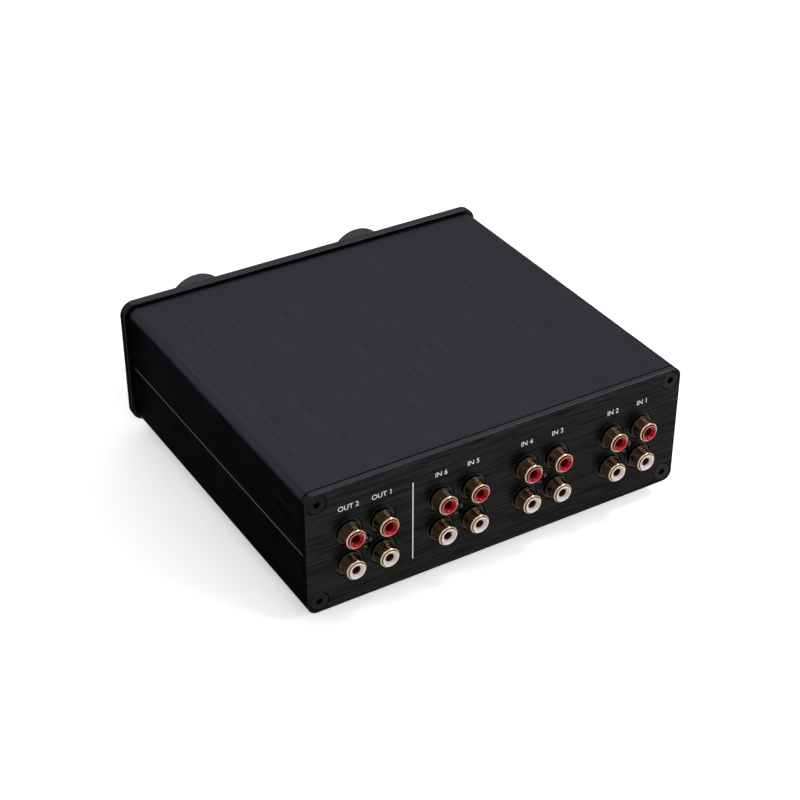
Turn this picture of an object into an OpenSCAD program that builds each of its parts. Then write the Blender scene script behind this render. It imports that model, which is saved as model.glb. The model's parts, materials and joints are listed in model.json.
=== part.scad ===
// Passive preamplifier: a flat two-half aluminium case with an overhanging front panel,
// two turned knobs at the front and four blocks of phono jacks at the back.
// +Z is up, the knobs face -Y, the jacks face +Y and +X is the right side seen from the front.
// The origin lies on the ground under the middle of the whole object.

/* [Case] */
// Width of the two case halves
body_w = 166.5; // [150:0.5:190]
// Height of the closed case without its feet
body_h = 53.5; // [50:0.5:64]
// Length of the extruded case halves
shell_len = 148; // [140:1:190]
// Outer corner radius of the case
body_r = 4; // [2.5:0.5:6]
// Wall thickness of the case halves
wall = 2.2; // [1.8:0.1:3]
// Height of the joint between the halves above the underside
seam_h = 26.4; // [22:0.2:32]
// Height of the lap that locates one half in the other
lap_h = 2; // [1:0.5:4]
// Gap in the lap joint
lap_clear = 0.15; // [0.05:0.05:0.3]
// Depth of the small bevels along the joint lines
edge_break = 0.3; // [0.1:0.1:0.6]

/* [Panels] */
// Thickness of the front panel
front_t = 4; // [3:0.5:8]
// How far the front panel stands past the case's sides
front_overhang = 2; // [0.5:0.5:4]
// How far the front panel stands past the case's top and underside
front_rise = 1.5; // [0.5:0.5:4]
// Corner radius of the front panel
front_r = 6; // [4:0.5:10]
// Bevel round the front panel's front edge
front_bevel = 0.5; // [0.2:0.1:1]
// Thickness of the rear panel
rear_t = 2.5; // [2.5:0.5:5]

/* [Panel screws] */
// Distance of the screws from the case's sides, top and underside
screw_inset = 4.9; // [4.7:0.1:7]
// Diameter of the screws
screw_d = 4; // [3:0.5:4.5]
// Diameter of the countersunk heads
screw_head_d = 7.9; // [6.5:0.1:8.4]
// Length of the screws with their heads
screw_len = 12; // [9:1:20]
// Width across the flats of the hexagon sockets
screw_key = 2.5; // [2:0.5:3]
// Wall round the screw holes of the case halves
port_wall = 1.6; // [1.2:0.1:2.5]
// Width of the slot that opens each screw hole inwards
port_slot = 1.2; // [0.8:0.1:2]

/* [Jacks] */
// Centres of the four jack blocks across the back, as shares of the case's width
block_shares = [0.3525, 0.1175, -0.1095, -0.349]; // [-0.36:0.0005:0.36]
// Distance between the jacks of a block, across and up
jack_pitch = 14; // [13:0.5:16]
// Height of the blocks' centres above the underside
jack_h = 25; // [24:0.5:28]
// How far the jacks stand out of the rear panel
jack_out = 6.2; // [5.2:0.2:9]
// How far a jack's metal lip stays behind its insulator's face
lip_drop = 0.6; // [0.3:0.1:0.8]
// Diameter of a jack's rim
rim_d = 8.2; // [8:0.1:8.6]
// Diameter of the mouth inside the rim
mouth_d = 7; // [6.8:0.1:7.1]
// Depth of that mouth
mouth_depth = 1.5; // [0.8:0.1:2]
// Diameter of the neck behind the rim
neck_d = 7.7; // [7.6:0.1:7.9]
// Diameter of the neck at its foot
neck_foot_d = 8.6; // [8:0.1:8.8]
// Diameter of the ring at the foot of the neck
ring_d = 9.8; // [9.4:0.1:10.4]
// Height of that ring above the rear panel
ring_out = 1; // [0.4:0.1:1.6]
// Length of the straight part of the rim
rim_len = 0.6; // [0.4:0.1:1]
// Rounding of the rim's lip
lip_r = 0.32; // [0.3:0.02:0.5]
// Diameter of the holes in the rear panel
jack_hole_d = 11.6; // [11.2:0.1:12.4]
// Diameter of the coloured insulators
insulator_d = 5.9; // [5.6:0.1:6]
// Diameter of an insulator's head, which rests on the floor of the mouth
head_d = 6.6; // [6.3:0.1:6.6]
// Width of the dish in an insulator's face
dish_w = 5.9; // [5:0.1:6]
// Depth of the dish
dish_depth = 1.4; // [0.8:0.1:1.6]
// Diameter of the hole for the plug's pin
socket_d = 3.4; // [3.2:0.1:3.8]
// Depth of a jack block behind the rear panel
block_depth = 12; // [9:0.5:18]
// Width of the block outside the jacks' axes
block_margin = 7.25; // [6.5:0.25:9]
// Diameter of the screw in the middle of each block
block_screw_d = 3; // [2.5:0.1:3.5]

/* [Knobs] */
// Diameter of the knobs
knob_d = 28; // [24:1:34]
// Length of the knobs
knob_len = 23.5; // [19:0.5:30]
// Gap between the knobs and the front panel
knob_gap = 1; // [0.5:0.1:2]
// Distance of the knobs from the middle of the front
knob_x = 40; // [32:1:50]
// Height of the knobs' axes above the underside
knob_h = 29.7; // [28:0.5:34]
// Bevel of the knobs' front edge
knob_bevel = 1; // [0.4:0.1:2]
// Thickness of the solid front of a knob
knob_front_t = 4.5; // [3:0.5:7]
// Width of the pointer groove
pointer_w = 1.4; // [0.8:0.1:2.5]
// Length of the pointer groove from the knob's rim
pointer_len = 7; // [3:0.5:10]
// Depth of the pointer groove
pointer_depth = 0.8; // [0.4:0.1:1.5]
// Angle of the selector's pointer at rest, clockwise from the top
selector_rest = -15; // [-75:30:75]

/* [Controls] */
// Diameter of the control shafts
shaft_d = 6; // [5:0.5:6.5]
// Diameter of the threaded bushes
bush_d = 9; // [8.5:0.5:10]
// Width of the bush nuts across their flats
nut_af = 12; // [11.5:0.5:14]
// Thickness of the bush nuts
nut_t = 2.5; // [2:0.5:3]
// Diameter of the washers under the nuts
washer_d = 15; // [13:0.5:16]
// Thickness of the washers
washer_t = 0.8; // [0.5:0.1:1.2]
// Diameter of the set screws
set_screw_d = 3; // [2.5:0.5:4]
// Length of the knobs' set screws
set_screw_len = 6; // [4:0.5:8]
// Width of the volume control's front plate
pot_w = 26; // [22:1:30]
// Depth of the volume control behind the front panel
pot_depth = 24; // [18:1:28]
// Width of the selector switch
switch_w = 30; // [24:1:34]
// Depth of the selector switch
switch_depth = 14; // [12:1:20]
// Distance from the rear panel to the back of the selector switch
switch_setback = 32; // [24:1:40]
// Diameter of the shaft coupler
coupler_d = 14; // [12:1:18]
// Length of the shaft coupler
coupler_len = 20; // [16:1:26]

/* [Boards] */
// Thickness of the circuit boards
board_t = 1.6; // [1:0.2:2.4]
// Depth of the jack board from back to front
board_depth = 68; // [60:1:76]
// How far the guide rails stand in from the side walls
rail_w = 3; // [2:0.5:5]
// Thickness of the guide rails
rail_t = 1.5; // [1:0.1:2]
// Width of the volume board
volume_board_w = 28; // [24:1:34]
// Depth of the volume board
volume_board_depth = 40; // [36:1:46]
// Width of the wire headers
header_w = 15; // [12:0.5:18]
// Width of the flat cable between the boards
ribbon_w = 8; // [6:0.5:11]
// Thickness of the flat cable
ribbon_t = 1.2; // [0.8:0.1:1.6]
// Inner bend radius of the flat cable
ribbon_bend = 9; // [6:0.5:12]

/* [Feet] */
// Diameter of the feet where they meet the case
foot_d = 16; // [12:1:22]
// Height of the feet
foot_h = 6; // [5:0.5:9]
// Distance of the feet from the case's sides
foot_inset_x = 18; // [16:1:26]
// Distance of the feet from the case's ends
foot_inset_y = 18; // [13:1:28]
// Taper of the feet towards the ground, on the radius
foot_taper = 1; // [0:0.25:2]
// Diameter of the feet's screws
foot_screw_d = 3; // [2.5:0.5:4]

/* [Clearances] */
// Running gap of a shaft in its bush, on the radius
run_clear = 0.05; // [0.02:0.01:0.1]
// Gap of a still piece in its seat, on the radius
fit_clear = 0.05; // [0.02:0.01:0.1]

/* [Hidden] */
$fn = 96;
// How far cutting shapes reach past what they cut
over = 1;

// Case levels and faces
half_w = body_w / 2;
base_z = foot_h;
top_z = base_z + body_h;
seam_z = base_z + seam_h;
total_depth = knob_len + knob_gap + front_t + shell_len + rear_t + jack_out;
knob_y = -total_depth / 2;
panel_y = knob_y + knob_len + knob_gap;
shell_y = panel_y + front_t;
rear_y = shell_y + shell_len;
back_y = rear_y + rear_t;
axis_z = base_z + knob_h;
jack_z = base_z + jack_h;
cavity_r = max(body_r - wall, 0.4);
tongue_t = (wall - lap_clear) / 2;

// Screw holes in the corners of the case
port_x = half_w - screw_inset;
port_r = screw_d / 2 + port_wall;
head_land = 0.3;
head_sink = 0.05;
cone_h = (screw_head_d - screw_d) / 2;
key_depth = 1.5;

// Jack profile heights, counted outwards from the rear panel's outer face
seat_depth = 2.5;
seat_h = -rear_t - seat_depth;
lip_h = jack_out - lip_drop;
rim_h = lip_h - lip_r - rim_len;
flare_h = 0.25;
ring_bevel = 0.25;
face_h = jack_out;
dish_r = (dish_w * dish_w / 4 + dish_depth * dish_depth) / (2 * dish_depth);
contact_drop = 2.2;
contact_h = face_h - dish_depth - contact_drop;
contact_t = 0.25;
contact_in = socket_d / 2 - 0.1;
contact_r = contact_in + contact_t;
rod_r = 1.2;
collar_gap = 0.3;
collar_drop = 0.5;
block_x = [for (share = block_shares) share * body_w];
block_size = jack_pitch + 2 * block_margin;
block_y = rear_y - block_depth;
block_r = 1;
leg_w = 1.6;
leg_t = 0.6;
leg_gap = 0.6;
leg_row = 2;
leg_hole = 0.15;
pan_head_h = 1.8;
pan_dome = 1.2;

// Boards
board_z = jack_z - block_size / 2 - board_t;
board_half_w = half_w - wall - 0.3;
board_gap = 0.5;
board_clear = 0.2;
tail = 1.4;
board_y1 = rear_y - board_gap;
board_y0 = board_y1 - board_depth;

// Controls
shaft_r = shaft_d / 2;
bush_r = bush_d / 2;
thread_proud = 0.7;
bush_y = panel_y - washer_t - nut_t - thread_proud;
nut_r = nut_af / 2 / cos(30);
recess_clear = 1;
recess_r = max(nut_r, washer_d / 2) + recess_clear;
recess_y = bush_y - recess_clear;
shaft_y = knob_y + knob_front_t + 0.5;
shaft_flat = shaft_d / 4;
flat_len = recess_y - shaft_y;
set_screw_y = (knob_y + knob_front_t + recess_y) / 2;
set_key = 1.5;
set_key_depth = 2;
pot_plate_t = 2.5;
pot_plate_r = 2;
pot_bore = 10;
pot_block_w = 18;
pot_block_depth = 13;
pot_block_drop = 2;
pin_w = 1;
pin_t = 0.5;
pin_pitch = 5;
pin_rows = 7;
end_gap = 0.3;
volume_board_top = axis_z - pot_w / 2 - pot_block_drop;
volume_board_gap = 2;
volume_board_y = shell_y + volume_board_gap;
pot_pin_gap = 4;
pot_pin_y = shell_y + pot_plate_t + pot_pin_gap;

switch_y1 = rear_y - switch_setback;
switch_y0 = switch_y1 - switch_depth;
switch_bush_len = 8;
switch_bore = 10;
switch_pin_pitch = 4;
coupler_gap = 2;
coupler_y1 = switch_y0 - switch_bush_len - coupler_gap;
coupler_y0 = coupler_y1 - coupler_len;
coupler_mid = (coupler_y0 + coupler_y1) / 2;
coupler_wall = coupler_d / 2 - shaft_r;
flange_t = 1.5;
flange_r = washer_d / 2;
guide_len = 8;

// Wire headers, plugs and the flat cable
header_depth = 6;
header_h = 3;
plug_h = 8;
plug_inset = 0.3;
wire_pins = 6;
wire_pitch = 2;
wire_pin = 0.64;
wire_pin_h = 6;
volume_header_y = volume_board_y + volume_board_depth - header_depth;
board_header_y = board_y0 + header_depth;
ribbon_rise = 4;
volume_plug_top = volume_board_top + header_h + plug_h;
board_plug_top = board_z + board_t + header_h + plug_h;
ribbon_top = volume_plug_top + ribbon_rise + ribbon_bend;

// Feet
foot_xs = [-half_w + foot_inset_x, half_w - foot_inset_x];
foot_ys = [shell_y + foot_inset_y, rear_y - foot_inset_y];
foot_round = 0.6;
foot_head_r = foot_screw_d * 0.92;
foot_recess_r = foot_head_r + 0.6;
foot_recess_h = foot_h - 2.5;
foot_screw_grip = 1.5;

// A flat outline in X and Z carried along Y
module along_y(y0, y1) translate([0, y1, 0]) rotate([90, 0, 0]) linear_extrude(y1 - y0) children();

// A flat outline in Y and Z carried along X
module along_x(x0, x1) translate([x0, 0, 0]) rotate([90, 0, 90]) linear_extrude(x1 - x0) children();

// A half section turned about an axis that points to the back
module turned(x, y, z) translate([x, y, z]) rotate([-90, 0, 0]) rotate_extrude() children();

// A round bar or hole along Y
module bar(x, z, y0, y1, r) translate([x, y0, z]) rotate([-90, 0, 0]) cylinder(h = y1 - y0, r = r);

// A rectangle with round corners, centred on x
module rounded_rect(x, w, z0, z1, r) {
    translate([x - w / 2 + r, z0]) square([w - 2 * r, z1 - z0]);
    translate([x - w / 2, z0 + r]) square([w, z1 - z0 - 2 * r]);
    for (side = [-1, 1], z = [z0 + r, z1 - r]) translate([x + side * (w / 2 - r), z]) circle(r);
}

// The rim of a plate: its outline grows by the bevel from the face y to the face y + dir * bevel,
// and runs on as far again, so that the rim overlaps the plate behind it
module bevel_layer(w, z0, z1, r, y, bevel, dir) {
    full_y = y + dir * bevel;
    sunk_y = full_y + dir * bevel;
    along_x(-w / 2 + r, w / 2 - r)
        polygon([[y, z0 + bevel], [y, z1 - bevel], [full_y, z1], [sunk_y, z1], [sunk_y, z0], [full_y, z0]]);
    translate([0, 0, z0 + r]) linear_extrude(z1 - z0 - 2 * r) polygon([
        [-w / 2 + bevel, y], [w / 2 - bevel, y], [w / 2, full_y],
        [w / 2, sunk_y], [-w / 2, sunk_y], [-w / 2, full_y]
    ]);
    for (side = [-1, 1], z = [z0 + r, z1 - r])
        translate([side * (w / 2 - r), y, z]) rotate([-90 * dir, 0, 0]) rotate_extrude()
            polygon([[0, 0], [r - bevel, 0], [r, bevel], [r, 2 * bevel], [0, 2 * bevel]]);
}

// The four corner screw places of the case
module at_ports() for (side = [-1, 1], z = [base_z + screw_inset, top_z - screw_inset])
    translate([side * port_x, 0, z]) children();

// Countersunk hexagon socket screw, its head facing along +Y
module countersunk_screw() difference() {
    rotate([-90, 0, 0]) rotate_extrude() polygon([
        [0, -head_sink], [screw_head_d / 2, -head_sink], [screw_head_d / 2, -head_sink - head_land],
        [screw_d / 2, -head_sink - head_land - cone_h], [screw_d / 2, -screw_len], [0, -screw_len]
    ]);
    translate([0, -key_depth, 0]) rotate([-90, 0, 0])
        cylinder(h = key_depth + over, r = screw_key / 2 / cos(30), $fn = 6);
}

// The space that such a screw takes in a panel
module countersink(panel_t) rotate([-90, 0, 0]) rotate_extrude() polygon([
    [0, over], [screw_head_d / 2 + fit_clear, over], [screw_head_d / 2 + fit_clear, -head_sink - head_land],
    [screw_d / 2 + fit_clear, -head_sink - head_land - cone_h],
    [screw_d / 2 + fit_clear, -panel_t - over], [0, -panel_t - over]
]);

// Half section of a pan head whose underside lies at height 0
module pan_head(r) {
    dome_r = (r * r + pan_dome * pan_dome) / (2 * pan_dome);
    intersection() {
        square([r, pan_head_h]);
        translate([0, pan_head_h - dome_r]) circle(dome_r);
    }
}

// Cross recess of a pan head, open towards +Z
module cross_recess(r) for (turn = [0, 90])
    rotate(turn) translate([-r * 0.55, -0.35, pan_head_h - 0.9]) cube([r * 1.1, 0.7, 0.9 + over]);

// Case halves

// The closed ring of the case's wall
module case_wall() difference() {
    rounded_rect(0, body_w, base_z, top_z, body_r);
    rounded_rect(0, body_w - 2 * wall, base_z + wall, top_z - wall, cavity_r);
}

// The thick corners that carry the screw holes, in the lower or the upper half
module port_corners(z, z_edge) intersection() {
    rounded_rect(0, body_w, base_z, top_z, body_r);
    for (side = [-1, 1]) union() {
        translate([side * port_x, z]) circle(port_r);
        translate([side > 0 ? port_x : -half_w, z_edge]) square(screw_inset);
    }
}

// The screw holes and the slots that open them towards the inside
module port_holes(z, up) for (side = [-1, 1]) translate([side * port_x, z]) {
    circle(screw_d / 2 + fit_clear);
    rotate(90 + side * up * 45 + (up > 0 ? 0 : 180))
        translate([0, -port_slot / 2]) square([port_r + over, port_slot]);
}

// Bevels on the outside of the joint between the halves
module seam_bevels() for (side = [-1, 1])
    translate([side * half_w, seam_z]) rotate(45) square(edge_break * sqrt(2), center = true);

// Two rails on each side wall that hold the jack board
module board_rails() for (side = [-1, 1], z = [board_z - rail_t, board_z + board_t + board_clear])
    translate([side > 0 ? half_w - wall - rail_w : -half_w + wall / 2, z]) square([rail_w + wall / 2, rail_t]);

// The room that the jack board takes between its rails
module board_slot() translate([-board_half_w - 0.15, board_z])
    square([2 * board_half_w + 0.3, board_t + board_clear]);

// Section of the lower half, with its inner lap standing up
module bottom_section() difference() {
    union() {
        intersection() {
            union() {
                case_wall();
                port_corners(base_z + screw_inset, base_z);
                board_rails();
            }
            translate([-half_w, base_z]) square([body_w, seam_h]);
        }
        for (side = [-1, 1])
            translate([side > 0 ? half_w - wall : -half_w + wall - tongue_t, seam_z - lap_h])
                square([tongue_t, 2 * lap_h]);
    }
    port_holes(base_z + screw_inset, 1);
    seam_bevels();
    board_slot();
}

// Section of the upper half, rebated for the lap
module top_section() difference() {
    intersection() {
        union() {
            case_wall();
            port_corners(top_z - screw_inset, top_z - screw_inset);
        }
        translate([-half_w, seam_z]) square([body_w, body_h - seam_h]);
    }
    for (side = [-1, 1])
        translate([side > 0 ? half_w - wall - over : -half_w + wall - tongue_t - lap_clear, seam_z - over])
            square([over + tongue_t + lap_clear, over + lap_h + lap_clear]);
    port_holes(top_z - screw_inset, -1);
    seam_bevels();
}

module top_shell() color("#3a393c") along_y(shell_y, rear_y) top_section();

module bottom_shell() color("#2b2a2c") difference() {
    along_y(shell_y, rear_y) bottom_section();
    for (x = foot_xs, y = foot_ys)
        translate([x, y, base_z - over]) cylinder(h = wall + 2 * over, r = foot_screw_d / 2 + fit_clear);
}

// Panels and their screws

module front_panel() color("#262628") difference() {
    union() {
        w = body_w + 2 * front_overhang;
        z0 = base_z - front_rise;
        z1 = top_z + front_rise;
        along_y(panel_y + front_bevel, shell_y) rounded_rect(0, w, z0, z1, front_r);
        bevel_layer(w, z0, z1, front_r, panel_y, front_bevel, 1);
    }
    at_ports() translate([0, panel_y, 0]) rotate([0, 0, 180]) countersink(front_t);
    for (side = [-1, 1]) bar(side * knob_x, axis_z, panel_y - over, shell_y + over, bush_r + fit_clear);
}

module rear_panel() color("#222223") difference() {
    union() {
        along_y(rear_y, back_y - edge_break) rounded_rect(0, body_w, base_z, top_z, body_r);
        bevel_layer(body_w, base_z, top_z, body_r, back_y, edge_break, -1);
    }
    at_ports() translate([0, back_y, 0]) countersink(rear_t);
    for (x = block_x) {
        bar(x, jack_z, rear_y - over, back_y + over, block_screw_d / 2 + fit_clear);
        for (c = [-1, 1], r = [-1, 1])
            bar(x + c * jack_pitch / 2, jack_z + r * jack_pitch / 2, rear_y - over, back_y + over, jack_hole_d / 2);
    }
}

module front_panel_screws() color("#141415") at_ports()
    translate([0, panel_y, 0]) rotate([0, 0, 180]) countersunk_screw();

module rear_panel_screws() color("#141415") at_ports() translate([0, back_y, 0]) countersunk_screw();

// Feet

module foot(x, y) color("#161616") translate([x, y, 0]) rotate_extrude() difference() {
    polygon([
        [0, 0], [foot_d / 2 - foot_taper - foot_round, 0], [foot_d / 2 - foot_taper, foot_round],
        [foot_d / 2, foot_h], [0, foot_h]
    ]);
    translate([0, -over]) square([foot_recess_r, foot_recess_h + over]);
    square([foot_screw_d / 2 + fit_clear, foot_h + over]);
}

module foot_screws() color("#8d8d8f") for (x = foot_xs, y = foot_ys)
    translate([x, y, foot_recess_h]) rotate([180, 0, 0]) difference() {
        rotate_extrude() {
            pan_head(foot_head_r);
            translate([0, foot_recess_h - base_z - wall - foot_screw_grip])
                square([foot_screw_d / 2, base_z + wall + foot_screw_grip - foot_recess_h]);
        }
        cross_recess(foot_head_r);
    }

// Knobs and their set screws

module knob(x, rest) color("#1f1f21") difference() {
    turned(x, knob_y, axis_z) polygon([
        [0, 0], [knob_d / 2 - knob_bevel, 0], [knob_d / 2, knob_bevel],
        [knob_d / 2, knob_len - edge_break], [knob_d / 2 - edge_break, knob_len], [0, knob_len]
    ]);
    bar(x, axis_z, recess_y, panel_y, recess_r);
    bar(x, axis_z, knob_y + knob_front_t, panel_y, shaft_r + fit_clear);
    translate([x, set_screw_y, axis_z]) rotate([180, 0, 0]) cylinder(h = knob_d, r = set_screw_d / 2 + fit_clear);
    translate([x, knob_y, axis_z]) rotate([0, rest, 0])
        translate([-pointer_w / 2, -over, knob_d / 2 - pointer_len])
            cube([pointer_w, pointer_depth + over, pointer_len + over]);
}

module knob_set_screw(x) color("#141415") translate([x, set_screw_y, axis_z - shaft_flat - set_screw_len])
    difference() {
        cylinder(h = set_screw_len, r = set_screw_d / 2);
        translate([0, 0, -over]) cylinder(h = set_key_depth + over, r = set_key / 2 / cos(30), $fn = 6);
    }

// A control shaft from the knob back to y1, with the flat that the set screw bears on
module control_shaft(x, y1) color("#b9babd") difference() {
    bar(x, axis_z, shaft_y, y1, shaft_r);
    translate([x - shaft_d, shaft_y - over, axis_z - shaft_flat - shaft_d])
        cube([2 * shaft_d, flat_len + over, shaft_d]);
}

// Washer and nut on a threaded bush, in front of the panel
module bush_washer(x) color("#a9aaad") difference() {
    bar(x, axis_z, panel_y - washer_t, panel_y, washer_d / 2);
    bar(x, axis_z, panel_y - washer_t - over, panel_y + over, bush_r + fit_clear);
}

module bush_nut(x) color("#b4b5b8") difference() {
    translate([x, panel_y - washer_t, axis_z]) rotate([90, 0, 0]) cylinder(h = nut_t, r = nut_r, $fn = 6);
    bar(x, axis_z, panel_y - washer_t - nut_t - over, panel_y, bush_r + fit_clear);
}

// Volume control

// Places of the volume control's six solder pins
module at_pot_pins() for (row = [0, 1], col = [-1, 0, 1])
    translate([knob_x + col * pin_pitch, pot_pin_y + row * pin_rows, 0]) children();

module volume_pot_case() color("#6f7f96") difference() {
    union() {
        along_y(shell_y, shell_y + pot_plate_t)
            rounded_rect(knob_x, pot_w, axis_z - pot_w / 2, axis_z + pot_w / 2, pot_plate_r);
        bar(knob_x, axis_z, shell_y + pot_plate_t, shell_y + pot_depth, pot_w / 2 - 1);
        translate([knob_x - pot_block_w / 2, shell_y + pot_plate_t, volume_board_top])
            cube([pot_block_w, pot_block_depth, pot_w / 2 + pot_block_drop]);
        bar(knob_x, axis_z, bush_y, shell_y + pot_plate_t, bush_r);
    }
    bar(knob_x, axis_z, bush_y - over, shell_y + pot_bore, shaft_r + run_clear);
}

module volume_pot_shaft() control_shaft(knob_x, shell_y + pot_bore - end_gap);

module volume_pot_terminals() color("#c9cacc") at_pot_pins()
    translate([-pin_w / 2, -pin_t / 2, volume_board_top - board_t - tail]) cube([pin_w, pin_t, board_t + tail]);

module volume_board() color("#1f5a38") difference() {
    translate([knob_x - volume_board_w / 2, volume_board_y, volume_board_top - board_t])
        cube([volume_board_w, volume_board_depth, board_t]);
    at_pot_pins() translate([-pin_w / 2 - leg_hole, -pin_t / 2 - leg_hole, volume_board_top - board_t - over])
        cube([pin_w + 2 * leg_hole, pin_t + 2 * leg_hole, board_t + 2 * over]);
    at_wire_pins(volume_header_y) wire_pin_hole(volume_board_top);
}

// Selector: bush in the panel, long shaft, coupler and switch

module panel_bushing() color("#b79a52") difference() {
    union() {
        bar(-knob_x, axis_z, bush_y, shell_y + guide_len, bush_r);
        bar(-knob_x, axis_z, shell_y, shell_y + flange_t, flange_r);
    }
    bar(-knob_x, axis_z, bush_y - over, shell_y + guide_len + over, shaft_r + run_clear);
}

module extension_shaft() control_shaft(-knob_x, coupler_mid - end_gap / 2);

module shaft_coupler() color("#a3a4a8") difference() {
    bar(-knob_x, axis_z, coupler_y0, coupler_y1, coupler_d / 2);
    bar(-knob_x, axis_z, coupler_y0 - over, coupler_y1 + over, shaft_r + fit_clear);
    at_coupler_screws() cylinder(h = coupler_d, r = set_screw_d / 2 + fit_clear);
}

module at_coupler_screws() for (y = [coupler_mid - coupler_len / 4, coupler_mid + coupler_len / 4])
    translate([-knob_x, y, axis_z]) children();

module coupler_screws() color("#141415") at_coupler_screws() translate([0, 0, shaft_r + 0.02]) difference() {
    cylinder(h = coupler_wall - 0.3, r = set_screw_d / 2);
    translate([0, 0, coupler_wall - set_key_depth]) cylinder(h = set_key_depth, r = set_key / 2 / cos(30), $fn = 6);
}

// Places of the selector switch's solder pins
module at_switch_pins() for (row = [0.25, 0.75], col = [-2.5 : 2.5])
    translate([-knob_x + col * switch_pin_pitch, switch_y0 + row * switch_depth, 0]) children();

module selector_switch_case() color("#2e4057") difference() {
    union() {
        along_y(switch_y0, switch_y1) {
            translate([-knob_x, axis_z]) circle(switch_w / 2);
            translate([-knob_x - switch_w / 2, board_z + board_t]) square([switch_w, axis_z - board_z - board_t]);
        }
        bar(-knob_x, axis_z, switch_y0 - switch_bush_len, switch_y0 + over, bush_r);
    }
    bar(-knob_x, axis_z, switch_y0 - switch_bush_len - over, switch_y0 + switch_bore, shaft_r + run_clear);
}

module selector_switch_shaft() color("#b9babd")
    bar(-knob_x, axis_z, coupler_mid + end_gap / 2, switch_y0 + switch_bore - end_gap, shaft_r);

module selector_switch_terminals() color("#c9cacc") at_switch_pins()
    translate([-pin_w / 2, -pin_t / 2, board_z - tail]) cube([pin_w, pin_t, board_t + tail]);

// Wiring between the boards

// Places of a header's pins, whose row lies at y along X
module at_wire_pins(y) for (i = [0 : wire_pins - 1])
    translate([knob_x + (i - (wire_pins - 1) / 2) * wire_pitch, y, 0]) children();

module wire_pin_hole(top) translate([-wire_pin / 2 - leg_hole, -wire_pin / 2 - leg_hole, top - board_t - over])
    cube([wire_pin + 2 * leg_hole, wire_pin + 2 * leg_hole, board_t + 2 * over]);

// Header on a board whose upper face lies at top: a base with pins through it
module wire_header(y, top) color("#ded9c8") {
    translate([knob_x - header_w / 2, y - header_depth / 2, top]) cube([header_w, header_depth, header_h]);
    at_wire_pins(y) translate([-wire_pin / 2, -wire_pin / 2, top - board_t - tail])
        cube([wire_pin, wire_pin, board_t + tail + header_h + wire_pin_h]);
}

// Plug that stands on a header
module wire_plug(y, top) color("#e8e4d6") difference() {
    translate([knob_x - header_w / 2 + plug_inset, y - header_depth / 2 + plug_inset, top + header_h])
        cube([header_w - 2 * plug_inset, header_depth - 2 * plug_inset, plug_h]);
    at_wire_pins(y) translate([-wire_pin / 2 - leg_hole, -wire_pin / 2 - leg_hole, top + header_h - over])
        cube([wire_pin + 2 * leg_hole, wire_pin + 2 * leg_hole, wire_pin_h + leg_hole + over]);
}

// A quarter of the flat cable's bend about y and z, on the side given by dir
module ribbon_corner(y, z, dir) intersection() {
    translate([y, z]) difference() {
        circle(ribbon_bend + ribbon_t);
        circle(ribbon_bend);
    }
    translate([dir > 0 ? y : y - ribbon_bend - ribbon_t, z]) square(ribbon_bend + ribbon_t);
}

module signal_cable() color("#8a8c90") {
    front_y = volume_header_y + ribbon_t / 2 + ribbon_bend;
    rear_bend_y = board_header_y - ribbon_t / 2 - ribbon_bend;
    along_x(knob_x - ribbon_w / 2, knob_x + ribbon_w / 2) {
        translate([volume_header_y - ribbon_t / 2, volume_plug_top]) square([ribbon_t, ribbon_top - ribbon_bend - volume_plug_top]);
        ribbon_corner(front_y, ribbon_top - ribbon_bend, -1);
        translate([front_y, ribbon_top]) square([rear_bend_y - front_y, ribbon_t]);
        ribbon_corner(rear_bend_y, ribbon_top - ribbon_bend, 1);
        translate([board_header_y - ribbon_t / 2, board_plug_top]) square([ribbon_t, ribbon_top - ribbon_bend - board_plug_top]);
    }
}

// Jack board, with holes for every pin that passes through it
module jack_board() color("#1f5a38") difference() {
    translate([-board_half_w, board_y0, board_z]) cube([2 * board_half_w, board_depth, board_t]);
    at_switch_pins() translate([-pin_w / 2 - leg_hole, -pin_t / 2 - leg_hole, board_z - over])
        cube([pin_w + 2 * leg_hole, pin_t + 2 * leg_hole, board_t + 2 * over]);
    at_wire_pins(board_header_y) wire_pin_hole(board_z + board_t);
    for (block = [0 : len(block_x) - 1], c = [-1, 1], r = [-1, 1])
        translate([block_x[block] + c * jack_pitch / 2 - leg_w / 2 - leg_hole, leg_y(r) - leg_hole, board_z - over])
            cube([leg_w + 2 * leg_hole, leg_t + 2 * leg_hole, board_t + 2 * over]);
}

// Jacks

// Front face of a contact's leg: the upper row's legs stand behind the lower row's
function leg_y(row) = block_y - leg_gap - leg_t - (row > 0 ? leg_row : 0);

// The jacks of one block in the given rows, -1 for the lower and 1 for the upper row
module at_jacks(block, rows) for (c = [-1, 1], r = rows)
    translate([block_x[block] + c * jack_pitch / 2, back_y, jack_z + r * jack_pitch / 2])
        rotate([-90, 0, 0]) children();

// Half section of a jack's metal sleeve, with a wider mouth round the insulator
module jack_shell_section() difference() {
    union() {
        polygon([
            [0, seat_h], [ring_d / 2, seat_h], [ring_d / 2, ring_out - ring_bevel],
            [ring_d / 2 - ring_bevel, ring_out], [0, ring_out]
        ]);
        polygon([
            [0, 0], [neck_foot_d / 2, 0], [neck_foot_d / 2, ring_out], [neck_d / 2, rim_h - flare_h],
            [rim_d / 2, rim_h], [rim_d / 2, lip_h - lip_r], [0, lip_h - lip_r]
        ]);
        translate([rim_d / 2 - lip_r, lip_h - lip_r]) circle(lip_r);
    }
    translate([0, seat_h - over]) square([insulator_d / 2 + fit_clear, lip_h - seat_h + 2 * over]);
    translate([0, lip_h - mouth_depth]) square([mouth_d / 2, mouth_depth + over]);
}

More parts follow.
